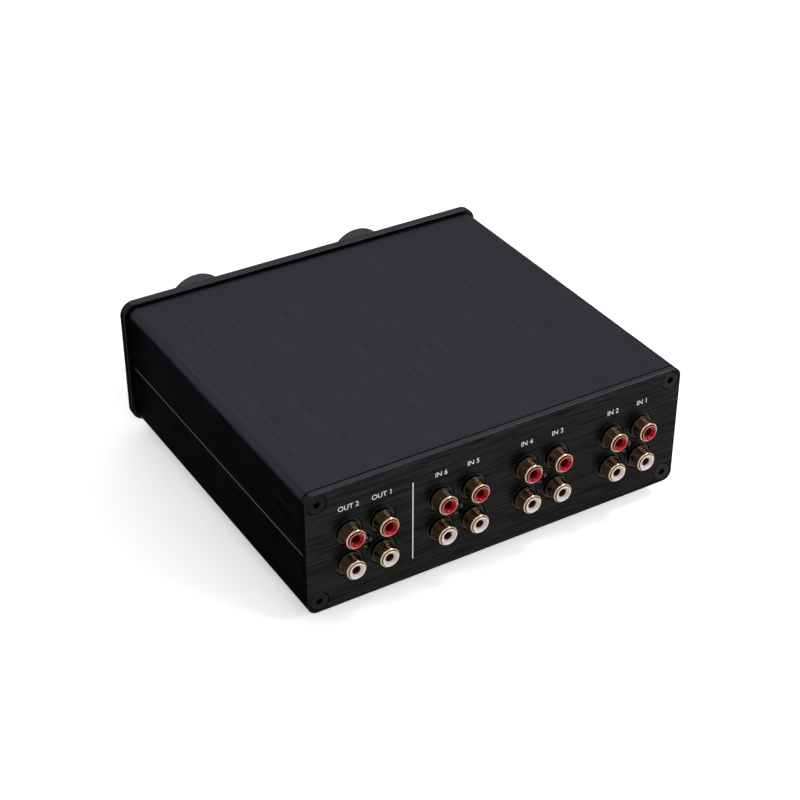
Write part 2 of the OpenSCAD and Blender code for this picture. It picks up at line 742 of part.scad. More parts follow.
// Half section of an insulator: a tube with a wider, dished head and a seat for the contact
module insulator_section() difference() {
    union() {
        translate([0, seat_h]) square([insulator_d / 2, face_h - seat_h]);
        translate([0, lip_h - mouth_depth]) square([head_d / 2, face_h - lip_h + mouth_depth]);
    }
    translate([0, seat_h - over]) square([socket_d / 2, face_h - seat_h + 2 * over]);
    translate([0, seat_h - over]) square([contact_r + fit_clear, contact_h - seat_h + over]);
    translate([0, face_h - dish_depth + dish_r]) circle(dish_r);
}

module jack_block(block) color("#141414") {
    x = block_x[block];
    difference() {
        union() {
            along_y(block_y, rear_y)
                rounded_rect(x, block_size, jack_z - block_size / 2, jack_z + block_size / 2, block_r);
            at_jacks(block, [-1, 1]) translate([0, 0, -rear_t - over])
                cylinder(h = rear_t + over - collar_drop, r = jack_hole_d / 2 - collar_gap);
        }
        at_jacks(block, [-1, 1]) {
            translate([0, 0, seat_h]) cylinder(h = over - seat_h, r = ring_d / 2 + fit_clear);
            translate([0, 0, -rear_t - block_depth - over]) cylinder(h = block_depth + rear_t, r = rod_r + fit_clear);
        }
        bar(x, jack_z, block_y - over, rear_y + over, block_screw_d / 2 + fit_clear);
    }
}

module jack_shells(block) color("#c9a455") at_jacks(block, [-1, 1]) rotate_extrude() jack_shell_section();

module red_insulators(block) color("#b3101a") at_jacks(block, [1]) rotate_extrude() insulator_section();

module white_insulators(block) color("#e9e7e1") at_jacks(block, [-1]) rotate_extrude() insulator_section();

// Contact sleeves in the insulators, with rods through the block and legs down to the board
module jack_contacts(block) color("#c2a45a") for (c = [-1, 1], r = [-1, 1]) {
    x = block_x[block] + c * jack_pitch / 2;
    z = jack_z + r * jack_pitch / 2;
    turned(x, back_y, z) difference() {
        translate([0, seat_h]) square([contact_r, contact_h - seat_h]);
        translate([0, seat_h + leg_t]) square([contact_in, contact_h - seat_h]);
    }
    bar(x, z, leg_y(r), back_y + seat_h, rod_r);
    translate([x - leg_w / 2, leg_y(r), board_z - tail]) cube([leg_w, leg_t, z - board_z + tail]);
}

module jack_block_screws() color("#161617") for (x = block_x) translate([x, back_y, jack_z]) rotate([-90, 0, 0])
    difference() {
        rotate_extrude() {
            pan_head(block_screw_d * 0.9);
            translate([0, -rear_t - block_depth + over]) square([block_screw_d / 2, rear_t + block_depth - over]);
        }
        cross_recess(block_screw_d * 0.9);
    }

top_shell();
bottom_shell();
front_panel();
rear_panel();
front_panel_screws();
rear_panel_screws();
foot(foot_xs[0], foot_ys[0]);  // foot_front_left
foot(foot_xs[1], foot_ys[0]);  // foot_front_right
foot(foot_xs[0], foot_ys[1]);  // foot_rear_left
foot(foot_xs[1], foot_ys[1]);  // foot_rear_right
foot_screws();
knob(knob_x, 0);  // volume_knob
knob(-knob_x, selector_rest);  // selector_knob
knob_set_screw(knob_x);  // volume_set_screw
knob_set_screw(-knob_x);  // selector_set_screw
volume_pot_case();
volume_pot_shaft();
volume_pot_terminals();
bush_washer(knob_x);  // volume_pot_washer
bush_nut(knob_x);  // volume_pot_nut
volume_board();
wire_header(volume_header_y, volume_board_top);  // volume_header
panel_bushing();
bush_washer(-knob_x);  // panel_bushing_washer
bush_nut(-knob_x);  // panel_bushing_nut
extension_shaft();
shaft_coupler();
coupler_screws();
selector_switch_case();
selector_switch_shaft();
selector_switch_terminals();
jack_board();
wire_header(board_header_y, board_z + board_t);  // board_header
wire_plug(volume_header_y, volume_board_top);  // volume_plug
wire_plug(board_header_y, board_z + board_t);  // board_plug
signal_cable();
jack_block_screws();
jack_block(0);  // output_jack_block
jack_shells(0);  // output_jack_shells
red_insulators(0);  // output_red_insulators
white_insulators(0);  // output_white_insulators
jack_contacts(0);  // output_jack_contacts
jack_block(1);  // input_6_5_jack_block
jack_shells(1);  // input_6_5_jack_shells
red_insulators(1);  // input_6_5_red_insulators
white_insulators(1);  // input_6_5_white_insulators
jack_contacts(1);  // input_6_5_jack_contacts
jack_block(2);  // input_4_3_jack_block
jack_shells(2);  // input_4_3_jack_shells
red_insulators(2);  // input_4_3_red_insulators
white_insulators(2);  // input_4_3_white_insulators
jack_contacts(2);  // input_4_3_jack_contacts
jack_block(3);  // input_2_1_jack_block
jack_shells(3);  // input_2_1_jack_shells
red_insulators(3);  // input_2_1_red_insulators
white_insulators(3);  // input_2_1_white_insulators
jack_contacts(3);  // input_2_1_jack_contacts
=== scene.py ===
import json
import math

import bmesh
import bpy
import numpy as np
from mathutils import Matrix, Vector
from mathutils.geometry import delaunay_2d_cdt


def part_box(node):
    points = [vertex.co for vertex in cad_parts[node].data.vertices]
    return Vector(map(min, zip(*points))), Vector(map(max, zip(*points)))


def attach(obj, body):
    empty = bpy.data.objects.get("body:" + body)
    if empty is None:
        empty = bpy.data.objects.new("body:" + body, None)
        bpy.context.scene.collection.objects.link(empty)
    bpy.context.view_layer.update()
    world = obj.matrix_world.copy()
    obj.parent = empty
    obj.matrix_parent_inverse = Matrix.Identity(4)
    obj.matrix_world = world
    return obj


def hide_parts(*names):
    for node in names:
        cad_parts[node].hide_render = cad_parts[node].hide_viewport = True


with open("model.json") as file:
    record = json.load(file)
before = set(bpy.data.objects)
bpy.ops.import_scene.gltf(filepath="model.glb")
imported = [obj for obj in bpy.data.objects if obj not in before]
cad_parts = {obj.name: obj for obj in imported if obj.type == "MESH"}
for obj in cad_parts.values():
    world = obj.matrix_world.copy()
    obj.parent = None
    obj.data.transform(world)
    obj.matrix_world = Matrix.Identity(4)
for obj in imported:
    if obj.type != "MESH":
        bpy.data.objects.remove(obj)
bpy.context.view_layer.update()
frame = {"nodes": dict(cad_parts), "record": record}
MM = 0.001


# Camera of the photograph: behind the box, above it and off to its right side as the knobs see it.
# The angles, the distance and the focal length come from a fit of the case, screws and jacks.
VIEW_AZIMUTH = math.radians(148.95)
VIEW_ELEVATION = math.radians(33.58)
VIEW_DISTANCE = 745.64 * MM
VIEW_FOCUS = Vector((-1.08, 11.15, 29.19)) * MM
FOCAL_PIXELS = 1831.96
FRAME_PIXELS = 800
SENSOR_WIDTH = 36
CLIP_START = 10 * MM

towards_camera = Vector((
    math.sin(VIEW_AZIMUTH) * math.cos(VIEW_ELEVATION),
    -math.cos(VIEW_AZIMUTH) * math.cos(VIEW_ELEVATION),
    math.sin(VIEW_ELEVATION),
))
camera_data = bpy.data.cameras.new("photo_view")
camera_data.sensor_fit = "HORIZONTAL"
camera_data.sensor_width = SENSOR_WIDTH
camera_data.lens = SENSOR_WIDTH * FOCAL_PIXELS / FRAME_PIXELS
camera_data.clip_start = CLIP_START
camera = bpy.data.objects.new("photo_view", camera_data)
camera.location = VIEW_FOCUS + towards_camera * VIEW_DISTANCE
camera.rotation_euler = towards_camera.to_track_quat("Z", "Y").to_euler()
bpy.context.collection.objects.link(camera)
bpy.context.scene.camera = camera
bpy.context.scene.view_settings.view_transform = "Standard"


# Studio: a white sweep under and round the box, a large soft lamp beyond the front that the top
# mirrors, a smaller one beside it for the round edges, and above the jacks a long strip and two small
# lamps for the highlights of their gold and plastic. The sweep is white to the eye and to gloss.
AMBIENT = 0.45
FLOOR_HALF = 4.0
FLOOR_WHITE = 0.90
FLOOR_GLOW = (0.40, 0.62)
GLOW_REACH = (0.8, 2.0)
LAMP_AIM_Z = 30 * MM


def add_node(tree, kind, inputs=None, **settings):
    """New node of a tree: settings are its own properties, and inputs are its sockets, which take values
    or links."""
    made = tree.nodes.new(kind)
    for key, value in settings.items():
        setattr(made, key, value)
    for key, value in (inputs or {}).items():
        if isinstance(value, bpy.types.NodeSocket):
            tree.links.new(value, made.inputs[key])
        else:
            made.inputs[key].default_value = value
    return made


def seen_ray(tree):
    """1 for rays that show the background: from the camera, off gloss or through glass. 0 for light."""
    path = add_node(tree, "ShaderNodeLightPath")
    gloss = add_node(
        tree, "ShaderNodeMath", {0: path.outputs["Is Camera Ray"], 1: path.outputs["Is Glossy Ray"]},
        operation="MAXIMUM",
    )
    either = add_node(
        tree, "ShaderNodeMath", {0: gloss.outputs[0], 1: path.outputs["Is Transmission Ray"]},
        operation="MAXIMUM",
    )
    return either.outputs[0]


def white_room():
    """World that is white where it is seen and gives a weaker even light."""
    world = bpy.data.worlds.new("white_room")
    world.use_nodes = True
    tree = world.node_tree
    tree.nodes.clear()
    strength = add_node(
        tree, "ShaderNodeMapRange", {"Value": seen_ray(tree), "To Min": AMBIENT, "To Max": 1.0}
    )
    light = add_node(
        tree, "ShaderNodeBackground", {"Color": (1, 1, 1, 1), "Strength": strength.outputs[0]}
    )
    out = add_node(tree, "ShaderNodeOutputWorld")
    tree.links.new(light.outputs[0], out.inputs["Surface"])
    return world


def white_sweep():
    """Matt white floor that keeps shadows, with a little glow where it is seen, and more of it far out,
    where the lamps no longer reach."""
    material = bpy.data.materials.new("white_sweep")
    material.use_nodes = True
    tree = material.node_tree
    tree.nodes.clear()
    matt = add_node(
        tree, "ShaderNodeBsdfDiffuse", {"Color": (FLOOR_WHITE, FLOOR_WHITE, FLOOR_WHITE, 1)}
    )
    place = add_node(tree, "ShaderNodeTexCoord").outputs["Object"]
    far = add_node(tree, "ShaderNodeVectorMath", {0: place}, operation="LENGTH").outputs["Value"]
    level = add_node(tree, "ShaderNodeMapRange", {
        "Value": far, "From Min": GLOW_REACH[0], "From Max": GLOW_REACH[1],
        "To Min": FLOOR_GLOW[0], "To Max": FLOOR_GLOW[1],
    })
    strength = add_node(
        tree, "ShaderNodeMath", {0: seen_ray(tree), 1: level.outputs[0]}, operation="MULTIPLY"
    )
    glow = add_node(
        tree, "ShaderNodeEmission", {"Color": (1, 1, 1, 1), "Strength": strength.outputs[0]}
    )
    both = add_node(tree, "ShaderNodeAddShader", {0: matt.outputs[0], 1: glow.outputs[0]})
    out = add_node(tree, "ShaderNodeOutputMaterial")
    tree.links.new(both.outputs[0], out.inputs["Surface"])
    return material


def soft_lamp(name, towards, distance, width, height, radiance):
    """Area lamp in a direction from the box and facing it, so wide and high, of a given brightness."""
    data = bpy.data.lights.new(name, "AREA")
    data.shape = "RECTANGLE"
    data.size = width
    data.size_y = height
    data.energy = radiance * math.pi * width * height
    lamp = bpy.data.objects.new(name, data)
    outward = Vector(towards).normalized()
    lamp.location = Vector((0, 0, LAMP_AIM_Z)) + outward * distance
    lamp.rotation_euler = outward.to_track_quat("Z", "Y").to_euler()
    bpy.context.collection.objects.link(lamp)
    return lamp


bpy.context.scene.world = white_room()
floor_mesh = bpy.data.meshes.new("floor")
floor_mesh.from_pydata(
    [(-FLOOR_HALF, -FLOOR_HALF, 0), (FLOOR_HALF, -FLOOR_HALF, 0),
     (FLOOR_HALF, FLOOR_HALF, 0), (-FLOOR_HALF, FLOOR_HALF, 0)],
    [], [(0, 1, 2, 3)],
)
floor_mesh.materials.append(white_sweep())
floor = bpy.data.objects.new("floor", floor_mesh)
bpy.context.collection.objects.link(floor)

soft_lamp("front_softbox", (-0.20, -0.72, 0.50), 1.15, 1.50, 0.95, 1.2)
soft_lamp("edge_softbox", (0.62, -0.70, 0.32), 1.20, 0.45, 0.60, 1.2)
soft_lamp("long_strip", (0.22, 0.68, 0.56), 1.10, 1.40, 0.15, 5.5)
soft_lamp("right_spot", (-0.42, 0.785, 0.485), 1.10, 0.20, 0.20, 24.0)
soft_lamp("top_spot", (-0.60, 0.12, 0.78), 1.10, 0.30, 0.24, 22.0)


# Upper and lower case halves: channels of extruded aluminium, sawn to length, brushed lengthwise
# and anodised black. A tongue on the lower half sits in a rebate of the upper one, and the open
# tubes in the corners take the screws of both panels.
shell_lo, shell_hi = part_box("top_shell")
base_lo, base_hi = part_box("bottom_shell")
HALF_WIDTH = shell_hi.x
TOP_Z = shell_hi.z
BASE_Z = base_lo.z
SEAM_Z = shell_lo.z
LAP_TOP = base_hi.z
SHELL_FRONT = shell_lo.y
SHELL_REAR = shell_hi.y
CORNER_R = 4 * MM
CORNER_STEP = 3.75
WALL = 2.2 * MM
LAP_CLEAR = 0.15 * MM
TONGUE = (WALL - LAP_CLEAR) / 2
EDGE_BREAK = 0.3 * MM
PORT_INSET = 4.9 * MM
PORT_R = 3.6 * MM
PORT_HOLE_R = 2.05 * MM
PORT_SLOT = 1.2 * MM
PORT_X = HALF_WIDTH - PORT_INSET
board_lo, board_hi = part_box("jack_board")
RAIL_W = 3 * MM
RAIL_T = 1.5 * MM
RAIL_CLEAR = 0.2 * MM
END_EDGE = 0.4 * MM
EDGE_RINGS = 4
SHARP_ANGLE = math.radians(32)
MERGE_REACH = 2e-7
SLIVER = 1e-8
SAME_POINT = 1e-6
FINE_LINES = (0.28 * MM, 14 * MM)
BROAD_LINES = (2.2 * MM, 60 * MM)
LINE_CONTRAST = (0.36, 0.64)
LINE_GLOSS = 0.05
LINE_DEPTH = 0.05 * MM
CASE_BLACKS = (0.0152, 0.0136, 0.0177, 1), (0.0240, 0.0213, 0.0277, 1)
CASE_BRUSH = (0.36, 0.08, 0.3)
# Painted highlight along the bevel of the case's seam.
SEAM_PAINTED_HIGHLIGHT = (0.045, 0.045, 0.046, 1)
HIGHLIGHT_SLACK = 0.001 * MM
# Painted shade of the gap where the case meets the rear panel.
END_PAINTED_SHADE = (0.002, 0.002, 0.002, 1)
# Painted shade of the sides: a deeper black, blended in near the side faces, and a weaker tint of their
# sheen.
SIDE_PAINTED_SHADE = (0.0070, 0.0066, 0.0078, 1), (0.0190, 0.0180, 0.0212, 1)
SIDE_SHADE_BLEND = (0.40 * MM, 0.06 * MM)
END_SHADE_BLEND = (1.5 * END_EDGE, END_EDGE)
FLAT_TINT = (0.5, 0.5, 0.5, 1)
SIDE_SHADE_TINT = (0.35, 0.35, 0.35, 1)


def arc(centre, radius, start, end, step=9):
    """Points on a circle round a centre, evenly from one angle to another, about a step apart, all in
    degrees."""
    angle = np.radians(np.linspace(start, end, round(abs(end - start) / step) + 1))
    return np.column_stack([centre[0] + radius * np.cos(angle), centre[1] + radius * np.sin(angle)])


def mirrored(path):
    """The same path on the other side of x = 0, walked the other way."""
    return path[::-1] * [-1, 1]


def moved_in(loop, inset):
    """Closed loop moved to its left: along the mean normal of the two edges at each point, lengthened
    so that straight runs stay parallel."""
    ahead = np.roll(loop, -1, axis=0) - loop
    ahead /= np.linalg.norm(ahead, axis=1, keepdims=True)
    left = np.column_stack([-ahead[:, 1], ahead[:, 0]])
    before = np.roll(left, 1, axis=0)
    lengthened = (left + before) / (1 + (left * before).sum(axis=1, keepdims=True))
    return loop + inset * lengthened


def inside(points, loops):
    """True where a point lies inside the loops, by the even-odd rule: a ray to the right crosses
    their edges an odd number of times."""
    start = np.concatenate(loops)
    end = np.concatenate([np.roll(loop, -1, axis=0) for loop in loops])
    x, z = points[:, :1], points[:, 1:]
    spans = (start[:, 1] > z) != (end[:, 1] > z)
    rise = np.where(end[:, 1] == start[:, 1], 1, end[:, 1] - start[:, 1])
    cross = start[:, 0] + (z - start[:, 1]) * (end[:, 0] - start[:, 0]) / rise
    return (spans & (x < cross)).sum(axis=1) % 2 == 1


def filled(loops):
    """Triangles of the area between loops, numbered as the loops' points are one after the other."""
    points = np.concatenate(loops)
    first = np.cumsum([0] + [len(loop) for loop in loops[:-1]])
    edges = np.concatenate([
        np.column_stack([np.arange(len(loop)), np.roll(np.arange(len(loop)), -1)]) + offset
        for loop, offset in zip(loops, first)
    ])
    made = delaunay_2d_cdt([Vector(p) for p in points / MM], edges.tolist(), [], 0, SAME_POINT)
    source = np.array([origin[0] for origin in made[3]])
    triangles = source[np.array(made[2])]
    return triangles[inside(points[triangles].mean(axis=1), loops)]


def extruded(loops, y0, y1, edge):
    """Outline and holes carried from y0 to y1, with a quarter-round edge at both ends: each ring of
    points is the loop moved into the metal by edge * (1 - sin a) at a depth of edge * (1 - cos a)."""
    angle = np.linspace(0, math.pi / 2, EDGE_RINGS)
    edges = np.broadcast_to(edge, len(loops))
    points, quads, caps, offset = [], [], [], 0
    for loop, size in zip(loops, edges):
        depth = size * (1 - np.cos(angle))
        inset = size * (1 - np.sin(angle))
        ring_y = np.concatenate([y0 + depth, y1 - depth[::-1]])
        rings = np.stack([moved_in(loop, step) for step in np.concatenate([inset, inset[::-1]])])
        across = np.broadcast_to(ring_y[:, None], rings.shape[:2])
        points.append(np.stack([rings[..., 0], across, rings[..., 1]], axis=-1).reshape(-1, 3))
        grid = offset + np.arange(rings.shape[0] * rings.shape[1]).reshape(rings.shape[:2])
        beside = np.roll(grid, -1, axis=1)
        quads.append(np.stack([grid[:-1], grid[1:], beside[1:], beside[:-1]], axis=-1).reshape(-1, 4))
        caps.append((rings[0], grid[0], grid[-1]))
        offset += grid.size
    triangles = filled([ring for ring, low, high in caps])
    low = np.concatenate([low for ring, low, high in caps])[triangles]
    high = np.concatenate([high for ring, low, high in caps])[triangles][:, ::-1]
    return np.concatenate(points), [np.concatenate(quads), low, high]


def raw_mesh(name, points, faces):
    """Mesh from an array of points and several arrays of faces."""
    mesh = bpy.data.meshes.new(name)
    mesh.from_pydata(points.tolist(), [], [face for block in faces for face in block.tolist()])
    return mesh


def make_piece(name, points, faces, material, body, slot, nodes=()):
    """Mesh object from points and arrays of faces, its doubles merged and its faces turned outwards.
    Sharp edges stay crisp, and large flat faces keep their own normals."""
    mesh = raw_mesh(name, points, faces)
    work = bmesh.new()
    work.from_mesh(mesh)
    bmesh.ops.remove_doubles(work, verts=work.verts, dist=MERGE_REACH)
    bmesh.ops.dissolve_degenerate(work, edges=work.edges, dist=SLIVER)
    bmesh.ops.recalc_face_normals(work, faces=work.faces)
    work.to_mesh(mesh)
    work.free()
    mesh.shade_smooth()
    mesh.set_sharp_from_angle(angle=SHARP_ANGLE)
    mesh.materials.append(material)
    piece = bpy.data.objects.new(name, mesh)
    bpy.context.collection.objects.link(piece)
    flat = piece.modifiers.new("flat_faces", "WEIGHTED_NORMAL")
    flat.keep_sharp = True
    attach(piece, body)
    if nodes:
        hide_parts(*nodes)
    return piece


def principled(name):
    """New material with one shader: its tree and that shader."""
    material = bpy.data.materials.new(name)
    material.use_nodes = True
    tree = material.node_tree
    return material, tree, tree.nodes["Principled BSDF"]


def mixed(tree, share, first, second):
    """Colour between two others, which are values or links: the second one's part in it is the share."""
    return add_node(tree, "ShaderNodeMix", {0: share, 6: first, 7: second}, data_type="RGBA").outputs[2]


def dress(tree, shader, colour, rough, bump, metal):
    """Links a colour, a roughness and a bump to a shader, and sets how much of a metal it is."""
    tree.links.new(colour, shader.inputs["Base Color"])
    tree.links.new(rough, shader.inputs["Roughness"])
    tree.links.new(bump, shader.inputs["Normal"])
    shader.inputs["Metallic"].default_value = metal


def brushed_black(name, along, blacks, brush, half_width, highlight_z, highlight_colour, end_y=None):
    """Black anodised metal with brush lines: noise drawn out in the brushing direction, in a fine and a
    broad size, that varies the colour, the roughness and a shallow bump. The brush gives the roughness,
    the strength of the bump and the share of broad lines. The faces at the sides get painted shade, a
    deeper black and a weaker sheen. The edge just under the given height gets a painted highlight in a
    colour of its own, and an end at end_y is darkened with painted shade of the gap at the joint there."""
    material, tree, shader = principled(name)
    rough, groove, broad_share = brush
    place = add_node(tree, "ShaderNodeTexCoord").outputs["Object"]

    def lines(width, length):
        """Noise of streaks, each about so wide and long."""
        stretch = [1 / width] * 3
        stretch[along] = 1 / length
        turned = add_node(tree, "ShaderNodeMapping", {"Vector": place, "Scale": stretch})
        return add_node(
            tree, "ShaderNodeTexNoise",
            {"Vector": turned.outputs[0], "Scale": 1.0, "Detail": 3.0, "Roughness": 0.6},
        ).outputs["Fac"]

    both = add_node(
        tree, "ShaderNodeMix", {0: broad_share, 2: lines(*FINE_LINES), 3: lines(*BROAD_LINES)},
        data_type="FLOAT",
    ).outputs[0]
    streak = add_node(
        tree, "ShaderNodeMapRange",
        {"Value": both, "From Min": LINE_CONTRAST[0], "From Max": LINE_CONTRAST[1]},
    ).outputs[0]
    across = add_node(tree, "ShaderNodeSeparateXYZ", {0: place})
    out = add_node(tree, "ShaderNodeMath", {0: across.outputs["X"]}, operation="ABSOLUTE").outputs[0]
    # Painted shade: the faces at the sides are given a deeper black.
    side_shade_from, side_shade_to = (half_width - inset for inset in SIDE_SHADE_BLEND)
    side = add_node(
        tree, "ShaderNodeMapRange", {"Value": out, "From Min": side_shade_from, "From Max": side_shade_to}
    ).outputs[0]
    # Painted highlight: a band just under the given height takes a lighter colour of its own.
    bevel = add_node(
        tree, "ShaderNodeMath",
        {0: across.outputs["Z"], 1: highlight_z - EDGE_BREAK / 2, 2: EDGE_BREAK / 2 + HIGHLIGHT_SLACK},
        operation="COMPARE",
    ).outputs[0]
    colour = mixed(tree, side, mixed(tree, streak, *blacks), mixed(tree, streak, *SIDE_PAINTED_SHADE))
    colour = mixed(tree, bevel, colour, highlight_colour)
    # Painted shade: the end next to the joint is darkened to near black.
    if end_y is not None:
        end_shade_from, end_shade_to = (end_y - inset for inset in END_SHADE_BLEND)
        end = add_node(
            tree, "ShaderNodeMapRange",
            {"Value": across.outputs["Y"], "From Min": end_shade_from, "From Max": end_shade_to},
        ).outputs[0]
        colour = mixed(tree, end, colour, END_PAINTED_SHADE)
    gloss = add_node(
        tree, "ShaderNodeMapRange",
        {"Value": streak, "To Min": rough - LINE_GLOSS, "To Max": rough + LINE_GLOSS},
    ).outputs[0]
    bump = add_node(
        tree, "ShaderNodeBump", {"Strength": groove, "Distance": LINE_DEPTH, "Height": both}
    ).outputs[0]
    dress(tree, shader, colour, gloss, bump, 1.0)
    # Painted shade in the sheen of the sides: their specular tint is lower.
    tree.links.new(mixed(tree, side, FLAT_TINT, SIDE_SHADE_TINT), shader.inputs["Specular Tint"])
    return material


def port_path(port_z, first, slot_angle, last):
    """Wall of a screw tube on the right side, from one angle to another: round its outside to the
    slot, in through the slot, backwards round the hole and out again."""
    centre = (PORT_X, port_z)
    outer = math.degrees(math.asin(PORT_SLOT / 2 / PORT_R))
    inner = math.degrees(math.asin(PORT_SLOT / 2 / PORT_HOLE_R))
    return np.concatenate([
        arc(centre, PORT_R, first, slot_angle - outer),
        arc(centre, PORT_HOLE_R, slot_angle - inner, slot_angle + inner - 360),
        arc(centre, PORT_R, slot_angle + outer, last),
    ])


def upper_half():
    """Section of the upper half: outside from the right edge over the top to the left edge, then back
    along the inside."""
    inner_x = HALF_WIDTH - WALL
    rebate_x = inner_x + TONGUE + LAP_CLEAR
    rebate_z = LAP_TOP + LAP_CLEAR
    reach = math.degrees(math.acos((PORT_INSET - WALL) / PORT_R))
    outside = np.concatenate([
        [(rebate_x, SEAM_Z), (HALF_WIDTH - EDGE_BREAK, SEAM_Z), (HALF_WIDTH, SEAM_Z + EDGE_BREAK)],
        arc((HALF_WIDTH - CORNER_R, TOP_Z - CORNER_R), CORNER_R, 0, 90, CORNER_STEP),
    ])
    within = np.concatenate([
        port_path(TOP_Z - PORT_INSET, 90 + reach, 225, 360 - reach),
        [(inner_x, rebate_z), (rebate_x, rebate_z)],
    ])
    return np.concatenate([outside, mirrored(outside), mirrored(within), within])


def lower_half():
    """Section of the lower half, with its tongue and the guide rails of the board."""
    inner_x = HALF_WIDTH - WALL
    rail_x = inner_x - RAIL_W
    slot_x = board_hi.x + LAP_CLEAR
    board_top = board_hi.z + RAIL_CLEAR
    reach = math.degrees(math.acos((PORT_INSET - WALL) / PORT_R))
    rail_angle = math.degrees(math.acos((rail_x - PORT_X) / PORT_R))
    outside = np.concatenate([
        arc((HALF_WIDTH - CORNER_R, BASE_Z + CORNER_R), CORNER_R, -90, 0, CORNER_STEP),
        [(HALF_WIDTH, SEAM_Z - EDGE_BREAK), (HALF_WIDTH - EDGE_BREAK, SEAM_Z)],
        [(inner_x + TONGUE, SEAM_Z), (inner_x + TONGUE, LAP_TOP), (inner_x, LAP_TOP)],
        [(inner_x, board_top + RAIL_T)],
        [(rail_x, board_top + RAIL_T), (rail_x, board_top), (slot_x, board_top)],
        [(slot_x, board_lo.z), (rail_x, board_lo.z)],
        port_path(BASE_Z + PORT_INSET, rail_angle, 135, 270 - reach),
    ])
    return np.concatenate([outside, mirrored(outside)])


case_black = brushed_black(
    "case_black", 1, CASE_BLACKS, CASE_BRUSH, HALF_WIDTH, SEAM_Z, SEAM_PAINTED_HIGHLIGHT, SHELL_REAR
)
for name, section, node in (
    ("upper_case_half", upper_half(), "top_shell"),
    ("lower_case_half", lower_half(), "bottom_shell"),
):
    points, faces = extruded([section], SHELL_FRONT, SHELL_REAR, END_EDGE)
    make_piece(name, points, faces, case_black, "chassis", "case_black", [node])


# Front panel: a milled aluminium plate, wider and taller than the case, brushed across and anodised.
# It has a countersunk hole in each corner and two holes for the bushes of the controls.
front_lo, front_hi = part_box("front_panel")
FRONT_R = 6 * MM
FRONT_EDGE = 0.5 * MM
HOLE_EDGE = 0.12 * MM
HEAD_HOLE_R = 4.05 * MM
BUSH_HOLE_R = 4.55 * MM
PORT_ZS = (BASE_Z + PORT_INSET, TOP_Z - PORT_INSET)
CORNERS = [(side * PORT_X, z) for side in (-1, 1) for z in PORT_ZS]
volume_lo, volume_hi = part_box("volume_knob")
selector_lo, selector_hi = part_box("selector_knob")
VOLUME_AXIS = ((volume_lo.x + volume_hi.x) / 2, (volume_lo.z + volume_hi.z) / 2)
SELECTOR_AXIS = ((selector_lo.x + selector_hi.x) / 2, (selector_lo.z + selector_hi.z) / 2)


def rounded_plate(lo, hi, radius):
    """Outline of a plate with four round corners, anticlockwise as seen from the front."""
    x0, x1, z0, z1 = lo.x + radius, hi.x - radius, lo.z + radius, hi.z - radius
    turns = ((x1, z0, -90), (x1, z1, 0), (x0, z1, 90), (x0, z0, 180))
    return np.concatenate([
        arc((x, z), radius, start, start + 90, CORNER_STEP) for x, z, start in turns
    ])


def round_hole(centre, radius):
    """Closed circle walked clockwise, so that the metal lies to its left."""
    return arc(centre, radius, 360, 0, step=6)[:-1]


PANEL_BLACKS = (0.0028, 0.0028, 0.0028, 1), (0.0210, 0.0210, 0.0213, 1)
PANEL_BRUSH = (0.34, 0.25, 0.14)
# Painted highlight on the top edge of both panels.
PANEL_TOP_PAINTED_HIGHLIGHT = (0.0230, 0.0215, 0.0250, 1)
front_black = brushed_black(
    "front_black", 0, PANEL_BLACKS, PANEL_BRUSH, front_hi.x, front_hi.z, PANEL_TOP_PAINTED_HIGHLIGHT
)
front_holes = [round_hole(corner, HEAD_HOLE_R) for corner in CORNERS]
front_holes += [round_hole(axis, BUSH_HOLE_R) for axis in (VOLUME_AXIS, SELECTOR_AXIS)]
points, faces = extruded(
    [rounded_plate(front_lo, front_hi, FRONT_R)] + front_holes,
    front_lo.y, front_hi.y, [FRONT_EDGE] + [HOLE_EDGE] * len(front_holes),
)
make_piece("front_plate", points, faces, front_black, "chassis", "panel_black", ["front_panel"])


# Rear panel: a plate flush with the case, brushed across and anodised like the front one. Each jack
# stands in a round hole, and a small hole between every four jacks takes the screw of their block.
rear_lo, rear_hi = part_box("rear_panel")
BACK_Y = rear_hi.y
REAR_EDGE = 0.3 * MM
JACK_HOLE_R = 5.8 * MM
BLOCK_HOLE_R = 1.6 * MM
HALF_PITCH = 7 * MM
BLOCKS = ("output", "input_6_5", "input_4_3", "input_2_1")


def block_centre(block):
    """Middle of a jack block in x and z, from its solid's box."""
    lo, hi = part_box(block + "_jack_block")
    shells_lo, shells_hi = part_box(block + "_jack_shells")
    return (lo.x + hi.x) / 2, (shells_lo.z + shells_hi.z) / 2


CENTRES = {block: block_centre(block) for block in BLOCKS}
JACKS = {
    block: [(x + dx, z + dz) for dx in (HALF_PITCH, -HALF_PITCH) for dz in (HALF_PITCH, -HALF_PITCH)]
    for block, (x, z) in CENTRES.items()
}
rear_holes = [round_hole(jack, JACK_HOLE_R) for block in BLOCKS for jack in JACKS[block]]
rear_holes += [round_hole(CENTRES[block], BLOCK_HOLE_R) for block in BLOCKS]
rear_holes += [round_hole(corner, HEAD_HOLE_R) for corner in CORNERS]
points, faces = extruded(
    [rounded_plate(rear_lo, rear_hi, CORNER_R)] + rear_holes,
    rear_lo.y, rear_hi.y, [REAR_EDGE] + [HOLE_EDGE] * len(rear_holes),
)
rear_black = brushed_black("rear_black", 0, PANEL_BLACKS, PANEL_BRUSH, rear_hi.x, rear_hi.z, PANEL_TOP_PAINTED_HIGHLIGHT)
make_piece("rear_plate", points, faces, rear_black, "chassis", "panel_black", ["rear_panel"])


